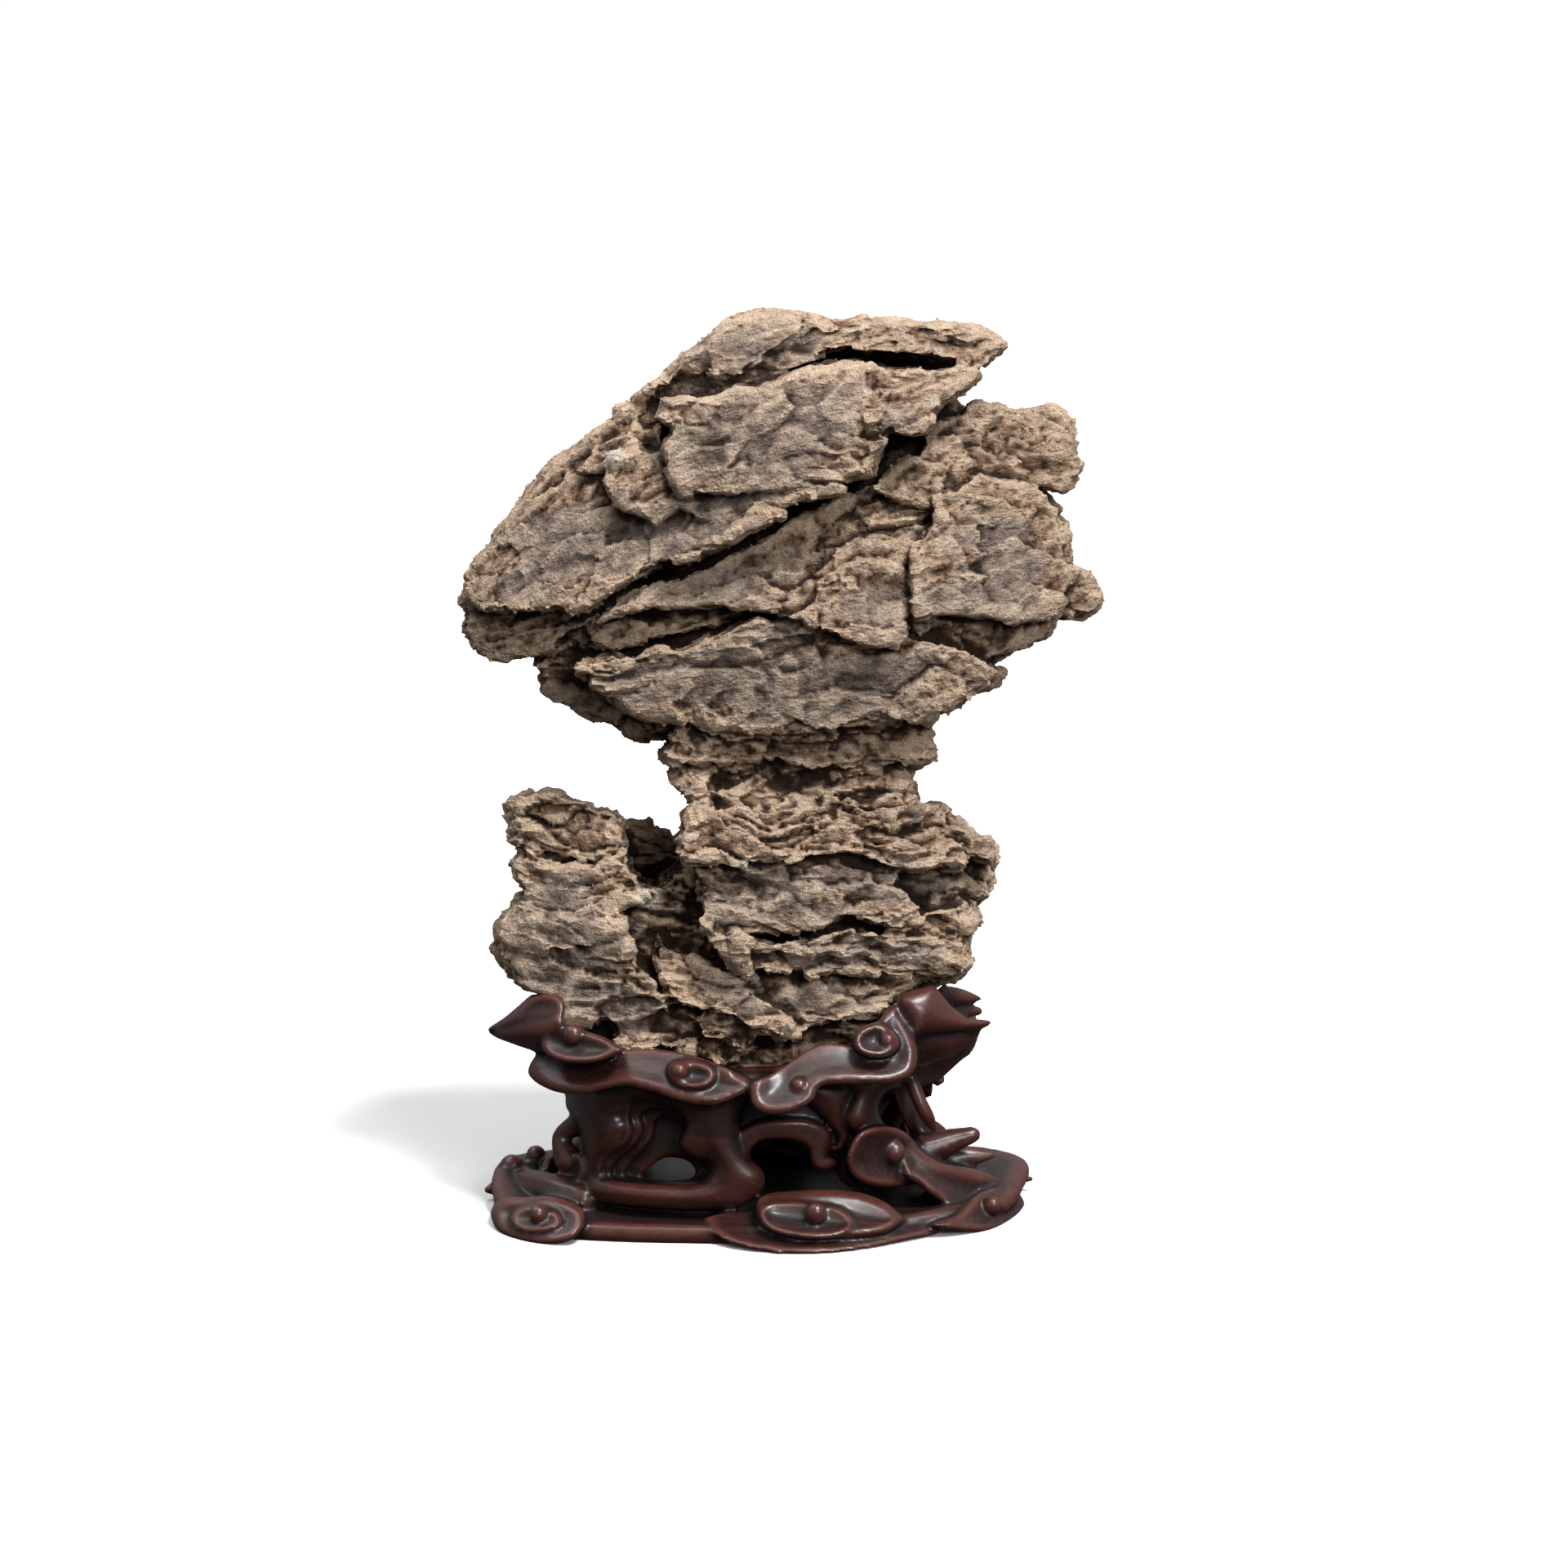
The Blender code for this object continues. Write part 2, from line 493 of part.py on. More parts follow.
def limb(bm, points, sides=10):
    """A carved limb through drawn points (across, up, depth, half width, half thickness)."""
    path = smooth_path(points, 4, False)
    spots = [at(u, v, y) for u, v, y, wide, thick in path]
    last = len(spots) - 1
    rings = []
    for i, spot in enumerate(spots):
        along = (spots[min(i + 1, last)] - spots[max(i - 1, 0)]).normalized()
        outward = Vector((spot.x, spot.y, 0)).normalized()
        side = along.cross(outward).normalized()
        outward = side.cross(along)
        wide, thick = path[i][3] * MM, path[i][4] * MM
        caps = {0: ((-0.9, 0.3), (-0.6, 0.75), (0, 1)), last: ((0, 1), (0.6, 0.75), (0.9, 0.3))}
        for beyond, share in caps.get(i, ((0, 1),)):
            rings.append([spot + along * beyond * thick
                          + (side * wide * math.cos(turn) + outward * thick * math.sin(turn)) * share
                          for turn in (2 * math.pi * k / sides for k in range(sides))])
    add_shell(bm, rings)


def turned(bm, spot, facing, profile, sides=28):
    """A round form about a spot, from a profile of (radius, height along facing) in mm."""
    across = Vector((facing.y, -facing.x, 0)).normalized() if abs(facing.z) < 0.999 else Vector((1, 0, 0))
    upward = facing.cross(across)
    rings = [[spot + (across * math.cos(turn) + upward * math.sin(turn)) * radius * MM + facing * height * MM
              for turn in (2 * math.pi * k / sides for k in range(sides))] for radius, height in profile]
    add_shell(bm, rings)


def knob(bm, spot, radius):
    """A bead of wood."""
    turned(bm, spot, Vector((0, 0, 1)), [(radius * math.sin(a), radius * math.cos(a))
                                         for a in (math.pi * (k + 0.5) / 8 for k in reversed(range(8)))],
           sides=14)


def saucer(bm, spot, facing, wide):
    """The saucer of a scroll end, with a raised rim."""
    turned(bm, spot, facing, [
        (0.5 * wide, -6.0), (0.85 * wide, -4.0), (wide, -1.0), (wide, 1.2), (0.9 * wide, 1.8),
        (0.78 * wide, 0.4), (0.6 * wide, -0.6), (0.3 * wide, 0.2)])


TRAY_CENTRE = (-8, 0)
TRAY_LIP = (
    (76, -20, 66), (80, 0, 72), (74, 22, 76), (58, 42, 68), (36, 55, 60), (10, 60, 66), (-18, 60, 60),
    (-46, 54, 66), (-72, 44, 70), (-92, 28, 76), (-104, 12, 78), (-108, -4, 73), (-104, -16, 68),
    (-96, -27, 64), (-84, -38, 60), (-68, -47, 61), (-56, -51, 63), (-44, -54, 61), (-29, -56, 60),
    (-14, -57, 62), (1, -58, 60), (14, -56, 64), (34, -52, 67), (50, -46, 68), (64, -32, 67))
TRAY_PROFILE = (
    (0.25, 0, 42), (0.62, 0, 44), (0.86, 0.5, 20), (0.96, 1, -4.5), (1, 1, -2), (1, 1, 1), (0.985, 1, 2.4),
    (0.95, 1, 2.8), (0.89, 0.9, 12), (0.82, 0.6, 34), (0.76, 0.3, 49), (0.6, 0, 62), (0.25, 0, 60))

BASE_CENTRE = (-12, -2)
BASE_LIP = (
    (101, 4, 8), (98, -22, 6), (91, -42, 3), (72, -55, 2), (50, -66, 1), (28, -74, 0), (5, -78, 0),
    (-18, -79, 0), (-40, -78, 0), (-64, -76, 0), (-88, -71, 0), (-106, -60, 0), (-116, -42, 2),
    (-120, -20, 6), (-118, 2, 8), (-106, 26, 5), (-86, 46, 2), (-60, 60, 0), (-34, 70, 4), (-8, 76, 1),
    (20, 74, 0), (46, 66, 5), (68, 54, 1), (86, 34, 5))
BASE_PROFILE = (
    (0.25, 0, -1.5), (0.86, 0, -1.5), (0.97, 1, -1.5), (0.995, 1, 1), (1, 1, 3.5), (0.99, 1, 5.8),
    (0.965, 1, 7), (0.93, 0.9, 6.8), (0.86, 0.5, 6), (0.78, 0.2, 5), (0.66, 0, 4.5), (0.25, 0, 4))


# The ovals that the stand's walls follow: middle x, middle y, reach in x, reach in y.
TRAY_WALL = (-8, 0, 112, 68)
WAIST_WALL = (-19, 0, 72, 54)
BASE_WALL = (-20, -2, 121, 78)

# Sections of a carved form, as (mm in from its edge, mm below its crest).
ROLLED = ((0, 3.2), (0.8, 1.3), (1.8, 0.3), (2.8, 0.0), (4.5, 0.8), (7.5, 2.4), (12, 3.6), (20, 4.2))
SWOLLEN = ((0, 6.0), (1, 4.0), (2.5, 2.4), (5, 1.0), (8, 0.3), (12, 0.0))
DISHED = ((0, 2.6), (0.7, 0.8), (1.5, 0.0), (2.6, 0.7), (4, 2.2), (7, 3.8), (12, 4.6))
STEPPED = ((0, 2.2), (0.7, 0.8), (1.6, 0.0), (4, 0.3))
BACK_MIDDLE = Vector((-14, 0, 0)) * MM


def front_of(wall, across):
    """The depth of the front of an oval wall at this place across."""
    share = np.clip(np.abs((across - wall[0]) / wall[2]), 0, 0.985)
    return wall[1] - wall[3] * np.sqrt(1 - share ** 3)


def carve(bm, wall, out, lean, section, thick, outline, worked=None, holes=(), turn=0):
    """A carved form: what a smooth drawn outline takes from a board bent along an oval wall.

    out is how far the form stands off the wall, and lean how far its face falls back for each
    mm up.  The section is worked in from the outline's first points only, where worked gives
    their number.  holes are outlines cut right through.  turn carries the form to the back.
    """
    loops = [smooth_path(loop, 5, True) for loop in (outline, *holes)]
    starts = np.array([point for loop in loops for point in loop])
    ends = np.array([point for loop in loops for point in loop[1:] + loop[:1]])
    run = ends - starts
    low = starts.min(axis=0) - 2 * CARVING_STEP
    columns, rows = (int(n) + 5 for n in np.ptp(starts, axis=0) / CARVING_STEP)
    u, v = np.meshgrid(low[0] + CARVING_STEP * np.arange(columns), low[1] + CARVING_STEP * np.arange(rows),
                       indexing="ij")
    spots = np.stack([u.ravel(), v.ravel()], axis=1)
    to_spot = spots[:, None] - starts
    share = np.clip((to_spot * run).sum(axis=2) / (run * run).sum(axis=1), 0, 1)
    away = np.hypot(*np.moveaxis(to_spot - share[:, :, None] * run, 2, 0))
    nearest = away.argmin(axis=1)
    crossed = (starts[:, 1] > spots[:, 1, None]) != (ends[:, 1] > spots[:, 1, None])
    rise = np.where(run[:, 1] == 0, 1, run[:, 1])
    crossed &= spots[:, 0, None] < starts[:, 0] + to_spot[:, :, 1] * run[:, 0] / rise
    inside = crossed.sum(axis=1) % 2 == 1
    on_edge = starts[nearest] + share[np.arange(len(spots)), nearest, None] * run[nearest]
    spots = np.where(inside[:, None], spots, on_edge)
    if worked:
        away = away[:, :5 * worked]
        inward = away.min(axis=1)
    else:
        inward = np.where(inside, away.min(axis=1), 0)
    level = front_of(wall, spots[:, 0]) - out + lean * (spots[:, 1] - spots[:, 1].mean())
    faces = level + np.interp(inward, *zip(*section))
    spin = Matrix.Rotation(math.radians(turn), 3, "Z")
    placed = {}

    def corner(index, depth):
        if (index, depth[index]) not in placed:
            spot = at(spots[index, 0], spots[index, 1], depth[index])
            if turn:
                spot = spin @ (spot - BACK_MIDDLE) + BACK_MIDDLE
            placed[index, depth[index]] = bm.verts.new(spot)
        return placed[index, depth[index]]

    behind_it = level + thick
    inside = inside.reshape(columns, rows)
    taken = inside[:-1, :-1] | inside[1:, :-1] | inside[1:, 1:] | inside[:-1, 1:]
    for i, j in zip(*np.nonzero(taken)):
        cell = [i * rows + j, (i + 1) * rows + j, (i + 1) * rows + j + 1, i * rows + j + 1]
        bm.faces.new([corner(k, faces) for k in cell])
        bm.faces.new([corner(k, behind_it) for k in reversed(cell)])
        for a, b, beside in ((0, 1, (i, j - 1)), (1, 2, (i + 1, j)), (2, 3, (i, j + 1)), (3, 0, (i - 1, j))):
            if not taken[beside]:
                bm.faces.new([corner(cell[b], faces), corner(cell[a], faces),
                              corner(cell[a], behind_it), corner(cell[b], behind_it)])


def bead(bm, wall, out, across, up, size):
    """A bead of wood whose middle stands this far off a wall."""
    knob(bm, at(across, up, front_of(wall, across) - out), size)


def waist(bm, turn):
    """The carved wall under the tray: a leg that turns along a low strap and rises as a column,
    an arch with a hook, and a second leg that ends in a great scroll."""
    # The stepped hollow round the left window, and the see-through window in its floor.
    carve(bm, WAIST_WALL, -8, 0.0, STEPPED, 7, [
        (-82, 66), (-78, 48), (-80, 34), (-76, 24), (-40, 22), (-24, 28), (-24, 44), (-30, 66)],
        holes=[[(-58, 31), (-55, 35), (-49, 39), (-43, 39), (-38, 37), (-36, 33), (-39, 30.5), (-50, 30)]],
        turn=turn)
    carve(bm, WAIST_WALL, -3.5, 0.0, STEPPED, 8, [
        (-84, 66), (-80, 48), (-80, 34), (-76, 24), (-40, 22), (-22, 28), (-22, 44), (-26, 66)],
        holes=[[(-65, 33), (-62, 38), (-57, 43), (-53.5, 48), (-52.5, 54), (-47, 56), (-41, 51), (-41, 45),
                (-35, 39), (-32, 34), (-38, 30), (-52, 29.5), (-62, 30.5)]], turn=turn)
    carve(bm, WAIST_WALL, 1, 0.0, STEPPED, 9, [
        (-86, 66), (-82, 48), (-80, 34), (-76, 24), (-40, 22), (-20, 28), (-20, 44), (-24, 66)],
        holes=[[(-70.5, 32.5), (-68.5, 38), (-64, 41.5), (-59.5, 46), (-57.5, 52), (-58.5, 57), (-50, 59),
                (-40, 54), (-40, 46), (-34, 40), (-31, 34), (-36, 29.5), (-52, 29), (-66, 29.8)]], turn=turn)
    carve(bm, WAIST_WALL, 5, 0.0, STEPPED, 10, [
        (-86, 66), (-82, 48), (-80, 34), (-76, 24), (-40, 22), (-20, 28), (-20, 44), (-24, 66)],
        holes=[[(-74.5, 32), (-73.5, 38), (-69.5, 41.5), (-64.5, 45), (-62, 50), (-63, 57), (-60, 62),
                (-48, 61), (-40, 55), (-39, 47), (-33, 41), (-30, 35), (-34, 29.5), (-52, 28.6),
                (-70, 29.3)]],
        turn=turn)
    # The leg, the strap and the column, in one.
    carve(bm, WAIST_WALL, 10, 0.0, SWOLLEN, 18, [
        (-92, 70), (-88.5, 64.5), (-86, 58), (-84, 51.5), (-82.5, 44), (-80.5, 38), (-81.5, 31), (-87, 24),
        (-82, 21.8), (-73, 20.6), (-61, 19.3), (-48, 18.4), (-36, 18), (-23, 18.3), (-15.5, 20),
        (-10.5, 23.8), (-7.8, 29), (-8.5, 33.5), (-12, 37), (-16, 41), (-18.5, 48), (-18, 56), (-16, 70),
        (-50, 74)], holes=[[
            (-77.5, 31.5), (-77, 37), (-74, 41), (-69, 43.5), (-66, 47.5), (-65, 52.5), (-67, 57), (-60, 63),
            (-48, 62), (-40, 54), (-42.5, 44.5), (-37, 39.5), (-31, 38), (-29, 34), (-32, 30), (-40, 28),
            (-57, 28.6), (-70, 29.8)]], turn=turn)
    # The wall behind the arch, the arch with its hook, and a second hook beside it.
    carve(bm, WAIST_WALL, -2, 0.0, STEPPED, 8, [
        (-24, 66), (-20, 44), (-17, 44), (-15, 50), (-8, 53), (2, 53.5), (10, 53), (16, 50), (19, 44),
        (23, 30), (32, 30), (34, 66)], turn=turn)
    carve(bm, WAIST_WALL, 5, 0.0, STEPPED, 12, [
        (-20, 34), (-20, 44), (-17.5, 50), (-10, 54), (0, 55), (10, 54.5), (16, 52), (19, 48), (18.5, 43),
        (17.5, 40), (20.5, 39), (22, 36.5), (19, 34.2), (13.5, 34.6), (11, 37.5), (10.8, 41), (8.5, 44.5),
        (3, 46.5), (-4, 46.7), (-10, 45.6), (-13.5, 42), (-14, 36), (-14, 30)], turn=turn)
    carve(bm, WAIST_WALL, 7, 0.0, SWOLLEN, 14, [
        (4, 70), (14, 58), (19, 52), (22, 48), (21.5, 45), (18.5, 42.5), (23, 41.5), (26.5, 46), (27, 56),
        (30, 70)], turn=turn)
    # The right leg and its great scroll.
    carve(bm, WAIST_WALL, 12, 0.0, SWOLLEN, 18, [
        (24, 72), (28.5, 66), (26.8, 60), (25.4, 55), (28, 50), (36, 46), (46, 48), (41, 53), (38.5, 58),
        (40, 64), (46, 72)], turn=turn)
    carve(bm, WAIST_WALL, 24, -0.1, DISHED, 24, [
        (31, 49.5), (27.5, 45), (25.4, 38.5), (27.5, 32.5), (33.3, 28.5), (41.7, 27), (51, 27.8),
        (58, 31), (62.5, 35.8), (57, 41), (53, 46), (49, 49.8), (43, 52), (37, 51.8)], turn=turn)


def stand_front(bm):
    """What the front of the stand shows: the carved waist, and cloud scrolls above and below it."""
    waist(bm, 0)
    bead(bm, WAIST_WALL, 22, 45, 41.5, 4.7)
    # The strap that runs down to the right, with a thin outer edge, and the limb below it.
    carve(bm, WAIST_WALL, 6, 0.0, SWOLLEN, 24, [
        (44, 74), (45, 66), (46.5, 59), (49.5, 53), (53.5, 46), (58, 41), (63.5, 39.3), (67.5, 41.8),
        (69, 44.5), (64, 48.5), (59.5, 52), (57.5, 57), (54, 63), (52, 74)])
    limb(bm, [(52.5, 70, -36, 3, 3), (55, 63, -38, 3, 3), (58.5, 56, -38, 3, 3), (61, 51, -36, 1.6, 2)])
    carve(bm, BASE_WALL, -22, 0.5, ROLLED, 30, [
        (48, 46), (62, 38), (70, 36), (80, 34), (88, 30), (94, 24), (88, 12), (74, 13), (68.5, 17.5),
        (64, 21), (59, 24.5), (55, 28), (48, 33)])
    # The lip of the tray on the left, its petal and the small scroll on it.
    carve(bm, TRAY_WALL, 4, 0.6, ROLLED, 18, [
        (-104.5, 75), (-103, 71.5), (-99, 68.5), (-93, 66), (-86, 65), (-79, 65.5), (-72, 67.3), (-65, 68.5),
        (-58, 67.2), (-51, 65.3), (-45, 63), (-38, 61.2), (-30, 60.5), (-23, 62.3), (-16, 65.5),
        (-12.5, 68.5), (-14, 71), (-20, 74), (-26, 77), (-34, 80), (-42, 82), (-50, 83), (-58, 83.5),
        (-66, 83), (-75, 81), (-85, 80), (-95, 81), (-101, 81)], worked=17)
    carve(bm, TRAY_WALL, 9, 0.8, DISHED, 14, [
        (-99, 87), (-98, 82.5), (-94, 79.3), (-86, 77.6), (-77, 78), (-70, 80.5), (-65.5, 83.5),
        (-70, 86.5), (-75, 89), (-82, 91), (-90, 92), (-96, 91.5)])
    bead(bm, TRAY_WALL, 4, -86, 89.3, 4.5)
    carve(bm, TRAY_WALL, 6.5, 0.6, DISHED, 12, [
        (-47.5, 75), (-46.5, 70.5), (-42, 67.6), (-36, 66.8), (-30.5, 68.5), (-27.8, 72), (-29, 76),
        (-34, 78.5), (-41, 79), (-46, 78)])
    bead(bm, TRAY_WALL, 4.5, -42.7, 74.5, 3.7)
    # The ribbon that starts in a scroll in the middle, runs to the right and rises to the horn.
    carve(bm, TRAY_WALL, 6, 0.55, ROLLED, 20, [
        (-13.5, 69.5), (-13.8, 63.5), (-11.5, 59.3), (-6, 56.8), (1, 57.4), (7.5, 59.6), (12.3, 63.2),
        (14.5, 68), (21.5, 69.2), (31.5, 69.2), (41.5, 69.2), (48.3, 70.8), (52.5, 73.5), (54.3, 78.3),
        (54.4, 83.3), (52.9, 88.3), (50.8, 92.5), (48.3, 96.7), (45, 101.5), (40, 97), (38, 92), (34, 88),
        (29, 84.5), (23.3, 85.5), (17.5, 86), (11.7, 84.3), (5.8, 80.5), (0, 76.5), (-6.7, 72.5)], worked=19)
    bead(bm, TRAY_WALL, 8, 6.2, 68.5, 3.4)
    carve(bm, TRAY_WALL, 7, 0.6, DISHED, 14, [
        (28.3, 86.7), (29.5, 83), (34, 80.4), (40.5, 80.2), (45.3, 82.5), (47, 86), (45, 90), (41.5, 93),
        (38, 94.5), (33, 93), (29.5, 90.3)])
    bead(bm, TRAY_WALL, 5, 42.3, 87, 3.3)
    # The horn that clasps the rock on the right, and its smaller lobes.
    carve(bm, TRAY_WALL, -2, 0.25, SWOLLEN, 38, [
        (46.7, 104), (50.8, 106.8), (57.5, 108.8), (61.3, 109.2), (64.2, 105.8), (68.3, 100.8), (71.7, 98.3),
        (75, 96), (80, 95.6), (84.5, 94.7), (82.5, 92.5), (77, 91.5), (68, 90.5), (58, 89.5), (53, 88),
        (50.8, 91.7), (48.3, 96.7)])
    carve(bm, TRAY_WALL, -8, -0.3, SWOLLEN, 40, [
        (50, 92), (56, 92.5), (66, 92), (76, 92), (80, 91), (78.3, 87.5), (74.2, 83.8), (68.3, 80.4),
        (61.7, 78.3), (54, 75.5), (50, 80)])
    limb(bm, [
        (56, 104, -22, 5, 5), (66, 105, -16, 4.5, 4.5), (73, 104.5, -10, 3.5, 4), (80, 104, -6, 1, 1.2)])
    limb(bm, [(62, 98, -16, 5, 5), (72, 99, -10, 3.5, 4), (79, 99, -4, 2, 2.5)])
    knob(bm, at(64, 107.8, -18), 3.2)
    # The beak at the left, folded along a ridge.
    carve(bm, TRAY_WALL, 6, -0.25, SWOLLEN, 30, [
        (-120.5, 91), (-117.5, 88.2), (-112.5, 86.2), (-105, 83.6), (-98, 82), (-90, 84), (-90, 96),
        (-98, 96.5), (-106, 95.5), (-113, 93.5)])
    carve(bm, TRAY_WALL, 2, 0.6, ROLLED, 24, [
        (-121, 91.5), (-113, 92.5), (-104, 94.5), (-96, 95), (-90, 96), (-90, 104), (-96, 107),
        (-102.5, 106), (-108.3, 101.3), (-114, 96.5)])
    # The base: the scroll at its left end, the second lobe, the great scroll plate and the right end.
    carve(bm, BASE_WALL, 2, 1.1, ROLLED, 22, [
        (-119.5, 18), (-118, 11), (-113, 7), (-105, 4.5), (-95, 4), (-86, 6), (-81.5, 12), (-82, 18),
        (-88, 21.5), (-96, 23.5), (-106, 23), (-114, 23)])
    carve(bm, BASE_WALL, 5, 1.1, DISHED, 10, [
        (-112, 14.5), (-110, 10.5), (-104, 8.5), (-96, 9), (-91, 12), (-91.5, 16), (-96, 19), (-103, 20),
        (-109, 18.5)])
    bead(bm, BASE_WALL, 4, -100.4, 16.2, 3.8)
    carve(bm, BASE_WALL, 0, 1.8, ROLLED, 30, [
        (-33, 13.5), (-29, 8.5), (-21, 4.2), (-8, 1.2), (6, -0.2), (20, 0.4), (36, 2.8), (50, 5.6), (64, 9),
        (56, 14), (30, 18), (4, 18), (-16, 17), (-27, 16)], worked=9)
    carve(bm, BASE_WALL, 1, 1.1, ROLLED, 16, [
        (-11.5, 19), (-10, 13), (-4, 9), (8, 7), (20, 6.4), (32, 7), (41, 8.5), (46.5, 11.5), (49, 14.2),
        (45.5, 18), (40, 21.7), (31.7, 24.8), (22, 26), (12, 26), (3, 25.5), (-5, 24.8), (-10, 22.6)])
    carve(bm, BASE_WALL, 5, 1.1, DISHED, 12, [
        (-10.5, 18), (-9, 12.5), (-3.5, 8.5), (7.5, 6.3), (17.5, 6.1), (25, 7.8), (28.6, 12), (27.3, 16),
        (21.5, 19.4), (13, 21), (3, 22), (-6, 21.5)])
    bead(bm, BASE_WALL, 4, 12.9, 16.8, 4.6)
    carve(bm, BASE_WALL, 1, 1.1, ROLLED, 26, [
        (70, 16), (78, 24), (87.5, 27), (95.8, 24.5), (98.3, 19.2), (96.7, 14), (91.7, 10.4), (84.2, 8.6),
        (75, 9), (66, 10), (60, 12)])
    bead(bm, BASE_WALL, 0, 85, 19.8, 3.9)
    # The scroll at the foot of the left leg, and the lobes and beads behind it.
    carve(bm, WAIST_WALL, 9, 0.4, DISHED, 24, [
        (-98.3, 31.7), (-98.8, 35.8), (-96, 40.8), (-91, 43.3), (-85.5, 42.3), (-81.5, 38), (-81, 33),
        (-83.3, 28.6), (-88.5, 25.2), (-94, 26), (-97.5, 28.6)])
    bead(bm, WAIST_WALL, 8, -90, 39.3, 3.3)
    limb(bm, [(-82, 22, -40, 7, 7), (-94, 24, -30, 9, 8), (-104, 26, -16, 9, 8), (-106, 29, -2, 8, 8)])
    limb(bm, [(-88, 38, -26, 7, 6), (-91, 47.5, -24, 3, 4), (-84, 53, -24, 5, 5)])
    for across, up, depth, size in ((-111, 35.3, -6, 5.4), (-101.2, 40, 4, 4.4), (57.6, 61.6, -30, 3.2)):
        knob(bm, at(across, up, depth), size)
    limb(bm, [(-121, 26, -10, 1.5, 2), (-113, 28, -6, 6, 5), (-102, 33, 4, 7, 7), (-90, 34, 14, 8, 8)])
    # The lobes that run back along the right side.
    limb(bm, [(58, 42, -14, 9, 8), (70, 46.5, -14, 5, 5), (77, 48.5, -14, 3.4, 3.6)])
    limb(bm, [(62, 37, -4, 8, 7), (75, 39.5, -4, 4.5, 5), (85, 40.2, -4, 1.4, 1.6)])
    limb(bm, [(68, 27, 4, 8, 8), (84, 30, 4, 5, 5), (100.5, 30.5, 4, 1.2, 1.6)])


WAIST_CENTRE = (-19, 0)
WAIST_REACH = (65, 50)
WAIST_PROFILE = (
    (0.7, 1, 4), (1.04, 1, 4), (0.98, 1, -8), (0.92, 1, -16), (0.8, 1, -16), (0.76, 1, -8), (0.66, 1, 0))


def stand_back(bm):
    """The waist under the tray, and the legs and scrolls at the back in the manner of the front."""
    oval = [(WAIST_CENTRE[0] + WAIST_REACH[0] * math.cos(turn), WAIST_REACH[1] * math.sin(turn), 50)
            for turn in (2 * math.pi * k / 12 for k in range(12))]
    dish(bm, WAIST_CENTRE, oval, WAIST_PROFILE)
    waist(bm, 180)
    for across, depth, lean in ((40, 14, 4), (-76, 10, -4)):
        limb(bm, [(across, 78, depth * 0.9, 15, 9), (across + lean * 0.5, 64, depth, 12, 9),
                  (across - lean * 0.5, 46, depth * 1.15, 10, 8), (across * 1.1, 24, depth * 1.4, 16, 9)])
    for x, y, z, wide, swing in ((54, 50, 16, 17, 150), (-8, 62, 14, 20, 180), (-70, 46, 15, 16, 205),
                                 (30, 52, 64, 12, 165), (-36, 54, 64, 13, 190), (60, 34, 70, 11, 130),
                                 (-84, 34, 72, 11, 225)):
        facing = Vector((0, -math.cos(0.9), math.sin(0.9)))
        facing.rotate(Matrix.Rotation(math.radians(swing), 3, "Z"))
        spot = Vector((x, y, z)) * MM
        saucer(bm, spot, facing, wide)
        knob(bm, spot + facing * 1.5 * MM, 0.24 * wide)


def ground():
    """Everything below the surface that the stand rests on."""
    bm = bmesh.new()
    bmesh.ops.create_cube(bm, size=GROUND_SIZE, matrix=Matrix.Translation((0, 0, -GROUND_SIZE / 2)))
    return guide("ground", bm)


def guide(name, bm):
    """A guide object that only shapes others."""
    mesh = bpy.data.meshes.new(name)
    bm.to_mesh(mesh)
    bm.free()
    obj = bpy.data.objects.new(name, mesh)
    bpy.context.collection.objects.link(obj)
    obj.hide_render = True
    obj.display_type = "WIRE"
    return obj


def seat(stone, name, low, high):
    """A convex cutter round the part of the rock between two heights, a gap larger than it."""
    bm = bmesh.new()
    for vert in stone.data.vertices:
        if low <= vert.co.z <= high:
            bm.verts.new(vert.co)
    hull = bmesh.ops.convex_hull(bm, input=bm.verts)
    inside = {item for item in hull["geom_interior"] + hull["geom_unused"]
              if isinstance(item, bmesh.types.BMVert)}
    bmesh.ops.delete(bm, geom=list(inside), context="VERTS")
    bmesh.ops.recalc_face_normals(bm, faces=bm.faces)
    bm.normal_update()
    moves = [vert.normal * SEAT_GAP / max(0.5, min(vert.normal.dot(f.normal) for f in vert.link_faces))
             for vert in bm.verts]
    for vert, move in zip(bm.verts, moves):
        vert.co += move
    return guide(name, bm)


def cut(obj, cutter):
    boolean = obj.modifiers.new(cutter.name, "BOOLEAN")
    boolean.operation = "DIFFERENCE"
    boolean.solver = "MANIFOLD"
    boolean.object = cutter


def make_stand(stone):
    heap = bmesh.new()
    dish(heap, TRAY_CENTRE, TRAY_LIP, TRAY_PROFILE)
    dish(heap, BASE_CENTRE, BASE_LIP, BASE_PROFILE)
    stand_front(heap)
    stand_back(heap)
    stand = grow(heap, "stand", STAND_VOXEL)
    bm = bmesh.new()
    bm.from_mesh(stand.data)
    keep_largest(bm)
    for _ in range(2):
        bmesh.ops.smooth_vert(
            bm, verts=bm.verts, factor=0.5, use_axis_x=True, use_axis_y=True, use_axis_z=True)
    bm.to_mesh(stand.data)
    bm.free()
    thin(stand, STAND_TRIANGLES)
    cut(stand, seat(stone, "seat_of_the_foot", 0, FOOT_TOP))
    cut(stand, seat(stone, "seat_of_the_belly", *BELLY))
    cut(stand, ground())
    stand.data.materials.clear()
    stand.data.materials.append(finish("waxed dark hardwood", STAND_COLOUR, 0.35))
    return stand


for old in list(bpy.data.objects):
    bpy.data.objects.remove(old, do_unlink=True)

make_stand(make_stone())
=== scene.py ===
import math

import bmesh
import bpy
import numpy as np
from mathutils import Matrix, Vector, noise


